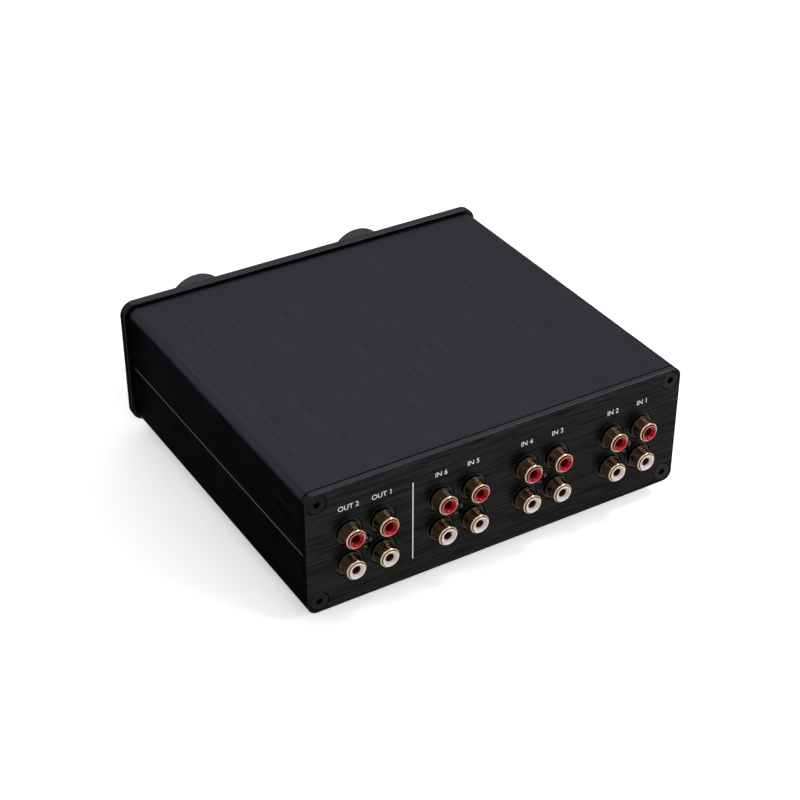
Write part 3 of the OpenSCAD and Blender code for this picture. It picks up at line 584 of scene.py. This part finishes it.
# Panel screws: eight countersunk steel screws with a hexagon socket, blackened. Their heads lie a
# hair below the panels, and they cut their thread in the tubes of the case.
SCREW_R = 2 * MM
HEAD_R = 3.95 * MM
HEAD_SINK = 0.05 * MM
HEAD_LAND = 0.4 * MM
HEAD_EDGE = 0.3 * MM
SCREW_LENGTH = 12 * MM
TIP_EDGE = 0.4 * MM
KEY_ACROSS = 2.5 * MM
KEY_DEPTH = 1.5 * MM
KEY_EDGE = 0.15 * MM
TURN_STEPS = 96
GRAIN_SHADE = 0.82
GRAIN_GLOSS = 0.06
GRAIN_BUMP = 0.2


def turned_rings(radius, height, steps=TURN_STEPS):
    """Rings round the Y axis: points at (radius * cos a, height, radius * sin a), with one height per
    ring and one radius per ring, or per ring and angle. Each ring closes on its first angle."""
    angle = np.linspace(0, 2 * math.pi, steps, endpoint=False)
    radius = np.broadcast_to(np.asarray(radius, float).reshape(len(height), -1), (len(height), steps))
    across = np.broadcast_to(np.asarray(height, float)[:, None], radius.shape)
    points = np.stack([radius * np.cos(angle), across, radius * np.sin(angle)], axis=-1)
    grid = np.arange(radius.size).reshape(radius.shape)
    beside = np.roll(grid, -1, axis=1)
    quads = np.stack([grid[:-1], grid[1:], beside[1:], beside[:-1]], axis=-1)
    return points.reshape(-1, 3), quads.reshape(-1, 4)


def repeated(points, quads, places, facing=1):
    """The same points and faces at each place. A facing of -1 turns them half round the Z axis."""
    turned = points * [facing, facing, 1]
    copies = np.asarray(places)[:, None, :] + turned[None, :, :]
    blocks = quads[None, :, :] + (np.arange(len(places)) * len(points))[:, None, None]
    return copies.reshape(-1, 3), [blocks.reshape(-1, quads.shape[1])]


def socket_screw():
    """Countersunk screw facing +Y with its head at y = 0: rings from the tip up the cone and over the
    land to the hexagon, whose radius is its half width / cos of the angle from the nearest flat."""
    angle = np.linspace(0, 2 * math.pi, TURN_STEPS, endpoint=False)
    sixth = math.pi / 3
    hexagon = KEY_ACROSS / 2 / np.cos((angle + sixth / 2) % sixth - sixth / 2)
    circle = np.ones(TURN_STEPS)
    cone = HEAD_R - SCREW_R
    rows = [
        (0 * circle, -SCREW_LENGTH),
        (circle * (SCREW_R - TIP_EDGE), -SCREW_LENGTH),
        (circle * SCREW_R, -SCREW_LENGTH + TIP_EDGE),
        (circle * SCREW_R, -HEAD_SINK - HEAD_LAND - cone),
        (circle * HEAD_R, -HEAD_SINK - HEAD_LAND),
        (circle * HEAD_R, -HEAD_SINK - HEAD_EDGE),
        (circle * (HEAD_R - HEAD_EDGE), -HEAD_SINK),
        (hexagon + KEY_EDGE, -HEAD_SINK),
        (hexagon, -HEAD_SINK - KEY_EDGE),
        (hexagon, -KEY_DEPTH),
        (0 * circle, -KEY_DEPTH - KEY_EDGE),
    ]
    return turned_rings([row[0] for row in rows], [row[1] for row in rows])


def satin(name, colour, rough, metal, grain, depth, shine=0.5):
    """Fine even finish: noise of one grain size varies the colour and roughness a little, with a bump.
    The shine is how strongly a surface that isn't metal mirrors."""
    material, tree, shader = principled(name)
    place = add_node(tree, "ShaderNodeTexCoord").outputs["Object"]
    noise = add_node(
        tree, "ShaderNodeTexNoise", {"Vector": place, "Scale": 1 / grain, "Detail": 4.0}
    ).outputs["Fac"]
    darker = tuple(GRAIN_SHADE * part for part in colour)
    shade = mixed(tree, noise, (*darker, 1), (*colour, 1))
    gloss = add_node(
        tree, "ShaderNodeMapRange",
        {"Value": noise, "To Min": rough - GRAIN_GLOSS, "To Max": rough + GRAIN_GLOSS},
    ).outputs[0]
    bump = add_node(
        tree, "ShaderNodeBump", {"Strength": GRAIN_BUMP, "Distance": depth, "Height": noise}
    ).outputs[0]
    dress(tree, shader, shade, gloss, bump, metal)
    shader.inputs["Specular IOR Level"].default_value = shine
    return material


screw_black = satin("screw_black", (0.0090, 0.0083, 0.0096), 0.30, 1.0, 0.3 * MM, 0.02 * MM)
points, quads = socket_screw()
front_places = [(x, front_lo.y, z) for x, z in CORNERS]
rear_places = [(x, BACK_Y, z) for x, z in CORNERS]
make_piece(
    "front_corner_screws", *repeated(points, quads, front_places, -1),
    screw_black, "chassis", "screw_black", ["front_panel_screws"],
)
make_piece(
    "rear_corner_screws", *repeated(points, quads, rear_places),
    screw_black, "chassis", "screw_black", ["rear_panel_screws"],
)


# Jack sleeves: sixteen sleeves turned from brass and gold plated, four in each block. Each has a ring
# where it leaves the panel, a tapered neck, and a rim whose round lip the plug grips.
JACK_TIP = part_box("output_jack_shells")[1].y - BACK_Y
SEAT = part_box("output_jack_shells")[0].y - BACK_Y
RING_R = 4.9 * MM
RING_OUT = 1.0 * MM
RING_EDGE = 0.25 * MM
NECK_FOOT_R = 4.3 * MM
NECK_R = 3.85 * MM
NECK_FILLET = 0.2 * MM
RIM_R = 4.1 * MM
RIM_LENGTH = 0.9 * MM
RIM_EDGE = 0.12 * MM
LIP = np.array((0.45, 0.6)) * MM
MOUTH_R = 3.5 * MM
MOUTH_EDGE = RIM_R - LIP[0] - MOUTH_R
MOUTH_DEPTH = 1.5 * MM
BORE_R = 3.0 * MM
SLEEVE_STEPS = 64
GOLD_ROUGH = 0.18
NECK_GROOVES = 16
NECK_GROOVE_DEPTH = 0.0176 * MM


def turned_profile(profile, steps=SLEEVE_STEPS):
    """A profile of (radius, height) points turned round the Y axis."""
    return turned_rings(profile[:, 0], profile[:, 1], steps)


def sleeve_profile():
    """Half section of a sleeve: up the outside over ring, neck and rim, over the lip, which is a
    quarter of an ellipse outside and a small round inside, down the mouth and the bore back to its
    start."""
    rim_back = JACK_TIP - RIM_LENGTH
    return np.concatenate([
        [(BORE_R, SEAT), (RING_R, SEAT)],
        arc((RING_R - RING_EDGE, RING_OUT - RING_EDGE), RING_EDGE, 0, 90, step=18),
        arc((NECK_FOOT_R + NECK_FILLET, RING_OUT + NECK_FILLET), NECK_FILLET, 270, 180, step=18),
        [(NECK_R, rim_back - RIM_EDGE), (NECK_R + RIM_EDGE / 2, rim_back)],
        arc((RIM_R - RIM_EDGE, rim_back + RIM_EDGE), RIM_EDGE, -90, 0, step=22.5),
        arc((0, 0), 1, 0, 90) * LIP + [RIM_R - LIP[0], JACK_TIP - LIP[1]],
        arc((MOUTH_R + MOUTH_EDGE, JACK_TIP - MOUTH_EDGE), MOUTH_EDGE, 90, 180, step=22.5),
        [(MOUTH_R, JACK_TIP - MOUTH_DEPTH), (BORE_R, JACK_TIP - MOUTH_DEPTH), (BORE_R, SEAT)],
    ])


def banded(tree, stops):
    """Colour that changes with the distance from the rear panel, and the height that it reads: each stop
    is a distance with the colour there, and the colour runs evenly from one stop to the next."""
    place = add_node(tree, "ShaderNodeTexCoord").outputs["Object"]
    height = add_node(tree, "ShaderNodeSeparateXYZ", {0: place}).outputs["Y"]
    reach = stops[-1][0] + MM
    share = add_node(
        tree, "ShaderNodeMapRange", {"Value": height, "From Min": BACK_Y, "From Max": BACK_Y + reach}
    )
    ramp = add_node(tree, "ShaderNodeValToRGB", {"Fac": share.outputs[0]})
    marks = ramp.color_ramp.elements
    for distance, colour in stops:
        marks.new(distance / reach).color = (*colour, 1)
    marks.remove(marks[0])
    marks.remove(marks[len(marks) - 1])
    return ramp.outputs["Color"], height


def gilded(name, stops, rough, neck, grooves, depth):
    """Gold plate in bands of colour, the darker ones painted shade, with the fine grooves that turning
    leaves round the neck: a sine of the height, with so many waves from one end of the neck to the
    other, as a bump."""
    material, tree, shader = principled(name)
    colour, height = banded(tree, stops)
    start, end = (BACK_Y + place for place in neck)
    share = add_node(tree, "ShaderNodeMapRange", {"Value": height, "From Min": start, "From Max": end})
    turns = add_node(
        tree, "ShaderNodeMath", {0: share.outputs[0], 1: 2 * math.pi * grooves}, operation="MULTIPLY"
    )
    wave = add_node(tree, "ShaderNodeMath", {0: turns.outputs[0]}, operation="SINE")
    bump = add_node(
        tree, "ShaderNodeBump", {"Strength": 1.0, "Distance": depth, "Height": wave.outputs[0]}
    )
    tree.links.new(colour, shader.inputs["Base Color"])
    tree.links.new(bump.outputs[0], shader.inputs["Normal"])
    shader.inputs["Metallic"].default_value = 1.0
    shader.inputs["Roughness"].default_value = rough
    return material


# The ring and the neck are painted far darker than the rim's gold: painted shade.
RING_PAINTED_SHADE = (0.030, 0.022, 0.0155)
NECK_PAINTED_SHADE = (0.060, 0.0375, 0.021)
RIM_GOLD = (0.47, 0.325, 0.20)
NECK = (RING_OUT + NECK_FILLET, JACK_TIP - RIM_LENGTH - RIM_EDGE)
GOLD_STOPS = (
    (RING_OUT, RING_PAINTED_SHADE), (NECK[0], NECK_PAINTED_SHADE), (NECK[1], NECK_PAINTED_SHADE), (NECK[1] + RIM_EDGE, RIM_GOLD),
)
gold = gilded("gold", GOLD_STOPS, GOLD_ROUGH, NECK, NECK_GROOVES, NECK_GROOVE_DEPTH)
sleeve_points, sleeve_quads = turned_profile(sleeve_profile())
for block in BLOCKS:
    places = [(x, BACK_Y, z) for x, z in JACKS[block]]
    make_piece(
        block + "_sleeves", *repeated(sleeve_points, sleeve_quads, places),
        gold, "chassis", "gold", [block + "_jack_shells"],
    )


# Insulators: plastic plugs pressed into the sleeves, red in the upper row for the right channel and
# white in the lower row for the left. Each stands a little proud of its sleeve, with a round dish that
# guides the pin into its socket.
FACE_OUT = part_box("output_red_insulators")[1].y - BACK_Y
INSULATOR_R = 2.94 * MM
FACE_R = 3.28 * MM
BRIM = 0.1 * MM
FACE_EDGE = 0.2 * MM
DISH_R = 2.95 * MM
DISH_DEPTH = 1.4 * MM
DISH_RINGS = 14
SOCKET_R = 1.7 * MM
SOCKET_EDGE = 0.15 * MM
SOCKET_FLOOR = -3.0 * MM
# Band at the edge of the face that gets the painted highlight.
EDGE_HIGHLIGHT_BAND = (0.15 * MM, 0.05 * MM)
BALL_R = (DISH_R ** 2 + DISH_DEPTH ** 2) / (2 * DISH_DEPTH)


def insulator_profile():
    """Half section of an insulator: outside wall, thin brim over the mouth of the sleeve, face with a
    soft edge, ball-shaped dish down to the soft edge of the socket, and the socket."""
    brim = FACE_OUT - FACE_EDGE - BRIM
    dish = np.linspace(DISH_R, SOCKET_R + SOCKET_EDGE, DISH_RINGS)
    sunk = np.sqrt(BALL_R ** 2 - dish ** 2) - (BALL_R - DISH_DEPTH)
    mouth = FACE_OUT - sunk[-1] - SOCKET_EDGE
    return np.concatenate([
        [(0, SEAT), (INSULATOR_R, SEAT), (INSULATOR_R, brim), (FACE_R, brim)],
        arc((FACE_R - FACE_EDGE, FACE_OUT - FACE_EDGE), FACE_EDGE, 0, 90, step=15),
        np.column_stack([dish, FACE_OUT - sunk]),
        arc((SOCKET_R + SOCKET_EDGE, mouth), SOCKET_EDGE, 90, 180, step=22.5)[1:],
        [(SOCKET_R, SOCKET_FLOOR), (0, SOCKET_FLOOR)],
    ])


def moulded(name, hole, dish, edge, depths, rough, shine, tint):
    """Moulded plastic in bands of colour: painted shade in the hole, the dish's colour in the dish, and
    a paler painted highlight at the edge. Between the two depths the hole's painted shade runs into the
    dish's colour."""
    material, tree, shader = principled(name)
    colour = banded(tree, (
        (FACE_OUT - depths[0], hole), (FACE_OUT - depths[1], dish),
        (FACE_OUT - EDGE_HIGHLIGHT_BAND[0], dish), (FACE_OUT - EDGE_HIGHLIGHT_BAND[1], edge),
    ))[0]
    tree.links.new(colour, shader.inputs["Base Color"])
    shader.inputs["Roughness"].default_value = rough
    shader.inputs["Specular IOR Level"].default_value = shine
    shader.inputs["Specular Tint"].default_value = (*tint, 1)
    return material


# Red plugs: painted shade in the hole that runs far up the dish, the plastic's own red in the dish, and
# a pale pink painted highlight at the edge.
red_plastic = moulded(
    "red_plastic", hole=(0.10, 0.0006, 0.002), dish=(0.22, 0.0006, 0.004), edge=(0.38, 0.17, 0.15),
    depths=(1.60 * MM, 0.35 * MM), rough=0.10, shine=0.50, tint=(1.0, 0.10, 0.13),
)
# White plugs: painted shade in the hole, a dish painted darker than the edge as painted shade, and a
# painted highlight at the edge.
white_plastic = moulded(
    "white_plastic", hole=(0.06, 0.008, 0.008), dish=(0.50, 0.45, 0.45), edge=(0.76, 0.69, 0.67),
    depths=(DISH_DEPTH, DISH_DEPTH / 2), rough=0.26, shine=0.3, tint=(1.0, 1.0, 1.0),
)
insulator_points, insulator_quads = turned_profile(insulator_profile())
for block in BLOCKS:
    middle = CENTRES[block][1]
    for row, plastic in (("red", red_plastic), ("white", white_plastic)):
        places = [(x, BACK_Y, z) for x, z in JACKS[block] if (z > middle) == (row == "red")]
        make_piece(
            block + "_" + row + "_plugs", *repeated(insulator_points, insulator_quads, places),
            plastic, "chassis", row + "_plastic", [block + "_" + row + "_insulators"],
        )


# Block screws: one black pan-head screw with a cross recess in the middle of every four jacks, which
# holds the block against the rear panel.
PAN_R = 2.7 * MM
PAN_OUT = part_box("jack_block_screws")[1].y - BACK_Y
PAN_DOME = 1.2 * MM
PAN_FOOT = 0.05 * MM
SHANK_R = 1.4 * MM
SHANK_LENGTH = 8 * MM
CROSS_HALF = 0.13
CROSS_REACH = 0.55
CROSS_DEPTH = 0.9 * MM
CROSS_WALL = 0.025
CROSS_LINES = (3, 6, 9)
CROSS_SLACK = 1e-9


def pan_head():
    """Screw facing +Y. Its head is a square grid (u, v) in -1..1, pressed into a disc by
    x = u * sqrt(1 - v * v / 2) and z = v * sqrt(1 - u * u / 2), raised to a ball-shaped dome, and sunk
    where the cross lies. Grid lines run along the cross's walls, so that they come out crisp. The
    disc's edge is carried on to the foot of the head, the shank and its tip."""
    half = np.concatenate([
        np.linspace(0, CROSS_HALF, CROSS_LINES[0]),
        np.linspace(CROSS_HALF + CROSS_WALL, CROSS_REACH, CROSS_LINES[1]),
        np.linspace(CROSS_REACH + CROSS_WALL, 1, CROSS_LINES[2]),
    ])
    line = np.concatenate([-half[:0:-1], half])
    u, v = np.meshgrid(line, line, indexing="ij")
    x, z = u * np.sqrt(1 - v * v / 2), v * np.sqrt(1 - u * u / 2)
    ball = (PAN_R ** 2 + PAN_DOME ** 2) / (2 * PAN_DOME)
    dome = PAN_OUT - ball + np.sqrt(ball ** 2 - (x * x + z * z) * PAN_R ** 2)
    slim, wide = np.minimum(abs(u), abs(v)), np.maximum(abs(u), abs(v))
    cross = (slim <= CROSS_HALF + CROSS_SLACK) & (wide <= CROSS_REACH + CROSS_SLACK)
    top = np.stack([x * PAN_R, dome - CROSS_DEPTH * cross, z * PAN_R], axis=-1)
    count = len(line)
    grid = np.arange(count * count).reshape(count, count)
    quads = np.stack([grid[:-1, :-1], grid[:-1, 1:], grid[1:, 1:], grid[1:, :-1]], axis=-1)
    rim = np.concatenate([grid[0, :-1], grid[:-1, -1], grid[-1, :0:-1], grid[:0:-1, 0]])
    edge = top.reshape(-1, 3)[rim]
    foot = edge * [1, 0, 1] + [0, PAN_FOOT, 0]
    neck = edge * [SHANK_R / PAN_R, 0, SHANK_R / PAN_R] + [0, PAN_FOOT, 0]
    tip = neck - [0, SHANK_LENGTH, 0]
    centre = tip * [0, 1, 0]
    below = [foot, neck, tip, centre]
    rings = np.concatenate([
        rim[None], count * count + np.arange(len(below) * len(rim)).reshape(len(below), -1),
    ])
    beside = np.roll(rings, -1, axis=1)
    sides = np.stack([rings[:-1], rings[1:], beside[1:], beside[:-1]], axis=-1)
    points = np.concatenate([top.reshape(-1, 3)] + below)
    return points, np.concatenate([quads.reshape(-1, 4), sides.reshape(-1, 4)])


screw_gloss = satin("screw_gloss", (0.003, 0.003, 0.0033), 0.09, 0.0, 0.5 * MM, 0.002 * MM, 0.2)
points, quads = pan_head()
pan_places = [(x, BACK_Y, z) for x, z in CENTRES.values()]
make_piece(
    "block_screws", *repeated(points, quads, pan_places),
    screw_gloss, "chassis", "screw_black", ["jack_block_screws"],
)


# Rear print: white ink screened on the anodised panel. A plain word over each pair of jacks says what
# it is, and a thin line parts the outputs from the inputs.
INK = 0.02 * MM
WORD_HEIGHT = 2.2 * MM
WORD_Z = 42.3 * MM + BASE_Z
LINE_X = 38.7 * MM
LINE_WIDTH = 0.4 * MM
LINE_Z = (8.8 * MM + BASE_Z, 43.7 * MM + BASE_Z)
WORDS = {
    "output": ("OUT 2", "OUT 1"),
    "input_6_5": ("IN 6", "IN 5"),
    "input_4_3": ("IN 4", "IN 3"),
    "input_2_1": ("IN 2", "IN 1"),
}
CAP_SHARE = 0.729


def printed_word(text, x, z):
    """A word of flat ink on the rear panel, read from behind: its baseline is centred at x and z."""
    name = "print_" + text.lower().replace(" ", "_")
    curve = bpy.data.curves.new(name, "FONT")
    curve.body = text
    curve.align_x = "CENTER"
    curve.size = WORD_HEIGHT / CAP_SHARE
    curve.extrude = INK / 2
    letters = bpy.data.objects.new(name, curve)
    bpy.context.collection.objects.link(letters)
    shaped = letters.evaluated_get(bpy.context.evaluated_depsgraph_get())
    mesh = bpy.data.meshes.new_from_object(shaped)
    bpy.data.objects.remove(letters)
    behind = Matrix(((-1, 0, 0, x), (0, 0, 1, BACK_Y + INK / 2), (0, 1, 0, z), (0, 0, 0, 1)))
    mesh.transform(behind)
    mesh.materials.clear()
    mesh.materials.append(white_ink)
    word = bpy.data.objects.new(name, mesh)
    bpy.context.collection.objects.link(word)
    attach(word, "chassis")


white_ink = satin("white_ink", (0.72, 0.72, 0.72), 0.55, 0.0, 0.25 * MM, 0.004 * MM)
for block, words in WORDS.items():
    for text, side in zip(words, (1, -1)):
        printed_word(text, CENTRES[block][0] + side * HALF_PITCH, WORD_Z)
line_outline = np.array([
    (LINE_X - LINE_WIDTH / 2, LINE_Z[0]), (LINE_X + LINE_WIDTH / 2, LINE_Z[0]),
    (LINE_X + LINE_WIDTH / 2, LINE_Z[1]), (LINE_X - LINE_WIDTH / 2, LINE_Z[1]),
])
points, faces = extruded([line_outline], BACK_Y, BACK_Y + INK, INK / 4)
make_piece("print_line", points, faces, white_ink, "chassis", "white_plastic")


# Knobs: two aluminium knobs, turned with a hollow back, brushed round and anodised black. A groove
# milled in from the rim of each holds white paint and points to the setting.
KNOB_BEVEL = 1.0 * MM
KNOB_BACK_EDGE = 0.4 * MM
KNOB_WALL = 3.0 * MM
KNOB_FRONT_T = 4.5 * MM
POINTER_WIDTH = 1.4 * MM
POINTER_LENGTH = 7.0 * MM
POINTER_DEPTH = 0.8 * MM
POINTER_EDGE = 0.05 * MM
CUTTER_PAST = 2 * MM
PAINT_DEPTH = 0.5 * MM
PAINT_EDGE = 0.04 * MM
PAINT_GAP = 0.03 * MM
PAINT_SHORT = 1.2 * MM
KNOB_STEPS = 160
KNOB_RINGS = (0.3, 0.6, 0.85)
KNOB_BLACKS = (0.022, 0.0208, 0.0242, 1), (0.039, 0.0369, 0.0429, 1)
KNOB_GLOSS = (0.26, 0.40)
TURNED_GRAIN = 0.25 * MM
TURNED_DEPTH = 0.02 * MM
SELECTOR_ANGLE = -15


def knob_profile(radius, length):
    """Half section of a knob from the middle of its front, over the bevel and the side, to the hollow
    behind: heights count backwards from the front face."""
    hollow = radius - KNOB_WALL
    return np.concatenate([
        [(0, 0)],
        [(radius * share, 0) for share in KNOB_RINGS],
        arc((radius - KNOB_BEVEL, KNOB_BEVEL), KNOB_BEVEL, -90, 0, step=11.25),
        arc((radius - KNOB_BACK_EDGE, length - KNOB_BACK_EDGE), KNOB_BACK_EDGE, 0, 90, step=22.5),
        [(hollow, length), (hollow, KNOB_FRONT_T), (0, KNOB_FRONT_T)],
    ])


def pointer_loop(axis, radius, angle, inset, reach):
    """Rectangle from a knob's rim towards its axis, turned clockwise from the top by an angle. An
    inset draws in its sides and inner end, and the reach is how far it goes past the rim."""
    half = POINTER_WIDTH / 2 - inset
    corners = np.array([
        (-half, radius - POINTER_LENGTH + inset), (half, radius - POINTER_LENGTH + inset),
        (half, radius + reach), (-half, radius + reach),
    ])
    turn = math.radians(-angle)
    turned = corners @ [[math.cos(turn), math.sin(turn)], [-math.sin(turn), math.cos(turn)]]
    return turned + axis


def turned_black(name, axis):
    """Black anodised metal that was turned: noise of the distance from a knob's axis and along it, in
    fine rings, varies the colour, the roughness and a shallow bump."""
    material, tree, shader = principled(name)
    place = add_node(tree, "ShaderNodeTexCoord").outputs["Object"]
    centred = add_node(
        tree, "ShaderNodeMapping", {"Vector": place, "Location": (-axis[0], 0, -axis[1])}
    )
    parts = add_node(tree, "ShaderNodeSeparateXYZ", {0: centred.outputs[0]}).outputs
    flat = add_node(tree, "ShaderNodeCombineXYZ", {"X": parts["X"], "Y": parts["Z"]})
    out = add_node(tree, "ShaderNodeVectorMath", {0: flat.outputs[0]}, operation="LENGTH")
    ring = add_node(tree, "ShaderNodeCombineXYZ", {"X": out.outputs["Value"], "Y": parts["Y"]})
    noise = add_node(
        tree, "ShaderNodeTexNoise", {"Vector": ring.outputs[0], "Scale": 1 / TURNED_GRAIN, "Detail": 3.0}
    ).outputs["Fac"]
    gloss = add_node(
        tree, "ShaderNodeMapRange", {"Value": noise, "To Min": KNOB_GLOSS[0], "To Max": KNOB_GLOSS[1]}
    ).outputs[0]
    bump = add_node(
        tree, "ShaderNodeBump", {"Strength": GRAIN_BUMP, "Distance": TURNED_DEPTH, "Height": noise}
    ).outputs[0]
    dress(tree, shader, mixed(tree, noise, *KNOB_BLACKS), gloss, bump, 1.0)
    shader.inputs["Specular Tint"].default_value = FLAT_TINT
    return material


def cut(piece, tool_points, tool_faces):
    """Takes a closed shape away from a piece and keeps the result as the piece's own mesh."""
    tool_mesh = raw_mesh("cutter", tool_points, tool_faces)
    tool = bpy.data.objects.new("cutter", tool_mesh)
    bpy.context.collection.objects.link(tool)
    take = piece.modifiers.new("groove", "BOOLEAN")
    take.operation = "DIFFERENCE"
    take.solver = "EXACT"
    take.object = tool
    piece.modifiers.move(len(piece.modifiers) - 1, 0)
    flat = piece.modifiers["flat_faces"]
    flat.show_viewport = False
    shaped = piece.evaluated_get(bpy.context.evaluated_depsgraph_get())
    mesh = bpy.data.meshes.new_from_object(shaped)
    piece.modifiers.remove(take)
    flat.show_viewport = True
    mesh.shade_smooth()
    mesh.set_sharp_from_angle(angle=SHARP_ANGLE)
    piece.data = mesh
    bpy.data.objects.remove(tool)
    bpy.data.meshes.remove(tool_mesh)


for name, axis, angle, lo, hi in (
    ("volume", VOLUME_AXIS, 0, volume_lo, volume_hi),
    ("selector", SELECTOR_AXIS, SELECTOR_ANGLE, selector_lo, selector_hi),
):
    radius = (hi.x - lo.x) / 2
    floor_y = lo.y + POINTER_DEPTH
    points, quads = turned_profile(knob_profile(radius, hi.y - lo.y), KNOB_STEPS)
    knob = make_piece(
        name + "_dial", points + [axis[0], lo.y, axis[1]], [quads],
        turned_black(name + "_dial_black", axis),
        name + "_control", "knob_black", [name + "_knob"],
    )
    groove = pointer_loop(axis, radius, angle, 0, CUTTER_PAST)
    cut(knob, *extruded([groove], lo.y - CUTTER_PAST, floor_y, POINTER_EDGE))
    paint = pointer_loop(axis, radius, angle, PAINT_GAP, -PAINT_SHORT)
    points, faces = extruded([paint], floor_y - PAINT_DEPTH, floor_y, PAINT_EDGE)
    make_piece(name + "_pointer", points, faces, white_ink, name + "_control", "white_plastic")


# Feet: four tapered discs moulded from black rubber, under the corners of the case. A sunk screw in
# the middle of each holds it to the lower half.
FOOT_TAPER = 1.0 * MM
FOOT_ROUND = 0.6 * MM
FOOT_RECESS_R = 3.36 * MM
FOOT_RECESS = 3.5 * MM
FOOT_BORE_R = 1.6 * MM
FEET = ("front_left", "front_right", "rear_left", "rear_right")


def foot_profile(radius, height):
    """Half section of a foot: up the tapered side from its rounded tread, over the top and down through
    the screw hole and the recess."""
    tread = radius - FOOT_TAPER
    return np.concatenate([
        [(FOOT_RECESS_R, 0)],
        arc((tread - FOOT_ROUND, FOOT_ROUND), FOOT_ROUND, -90, 0, step=15),
        [(radius, height), (FOOT_BORE_R, height), (FOOT_BORE_R, FOOT_RECESS)],
        [(FOOT_RECESS_R, FOOT_RECESS), (FOOT_RECESS_R, 0)],
    ])


rubber = satin("rubber", (0.022, 0.022, 0.023), 0.62, 0.0, 0.4 * MM, 0.05 * MM)
for foot in FEET:
    lo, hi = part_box("foot_" + foot)
    points, quads = turned_profile(foot_profile((hi.x - lo.x) / 2, hi.z - lo.z))
    upright = points[:, [0, 2, 1]] + [(lo.x + hi.x) / 2, (lo.y + hi.y) / 2, lo.z]
    make_piece("tread_" + foot, upright, [quads], rubber, "chassis", "rubber", ["foot_" + foot])


# Works inside the box: the volume control, the switch with its long shaft, the boards, plugs and flat
# cable, and the jacks' black bodies and gilt contacts. They keep the shapes of their solids.
bright_steel = satin("bright_steel", (0.56, 0.56, 0.57), 0.28, 1.0, 0.4 * MM, 0.01 * MM)
plain_aluminium = satin("plain_aluminium", (0.70, 0.70, 0.71), 0.36, 1.0, 0.3 * MM, 0.02 * MM)
brass = satin("brass", (0.70, 0.50, 0.22), 0.30, 1.0, 0.4 * MM, 0.01 * MM)
control_case = satin("control_case", (0.46, 0.46, 0.47), 0.34, 1.0, 0.6 * MM, 0.02 * MM)
board_green = satin("board_green", (0.020, 0.115, 0.045), 0.34, 0.0, 0.8 * MM, 0.01 * MM)
nylon = satin("nylon", (0.72, 0.70, 0.62), 0.45, 0.0, 0.8 * MM, 0.01 * MM)
cable_grey = satin("cable_grey", (0.30, 0.31, 0.33), 0.48, 0.0, 0.6 * MM, 0.02 * MM)
black_plastic = satin("black_plastic", (0.010, 0.010, 0.0105), 0.42, 0.0, 0.3 * MM, 0.02 * MM, 0.25)
FINISHES = {
    "bright_steel": bright_steel, "plain_aluminium": plain_aluminium, "brass": brass,
    "control_case": control_case, "board": board_green, "nylon": nylon, "cable": cable_grey,
    "black_plastic": black_plastic, "gold": gold, "screw_black": screw_black, "rubber": rubber,
}
for part in frame["record"]["subparts"]:
    finish = FINISHES.get(part["material_slot"])
    node = frame["nodes"][part["node"]]
    if finish and not node.hide_render:
        for holder in node.material_slots:
            holder.material = finish
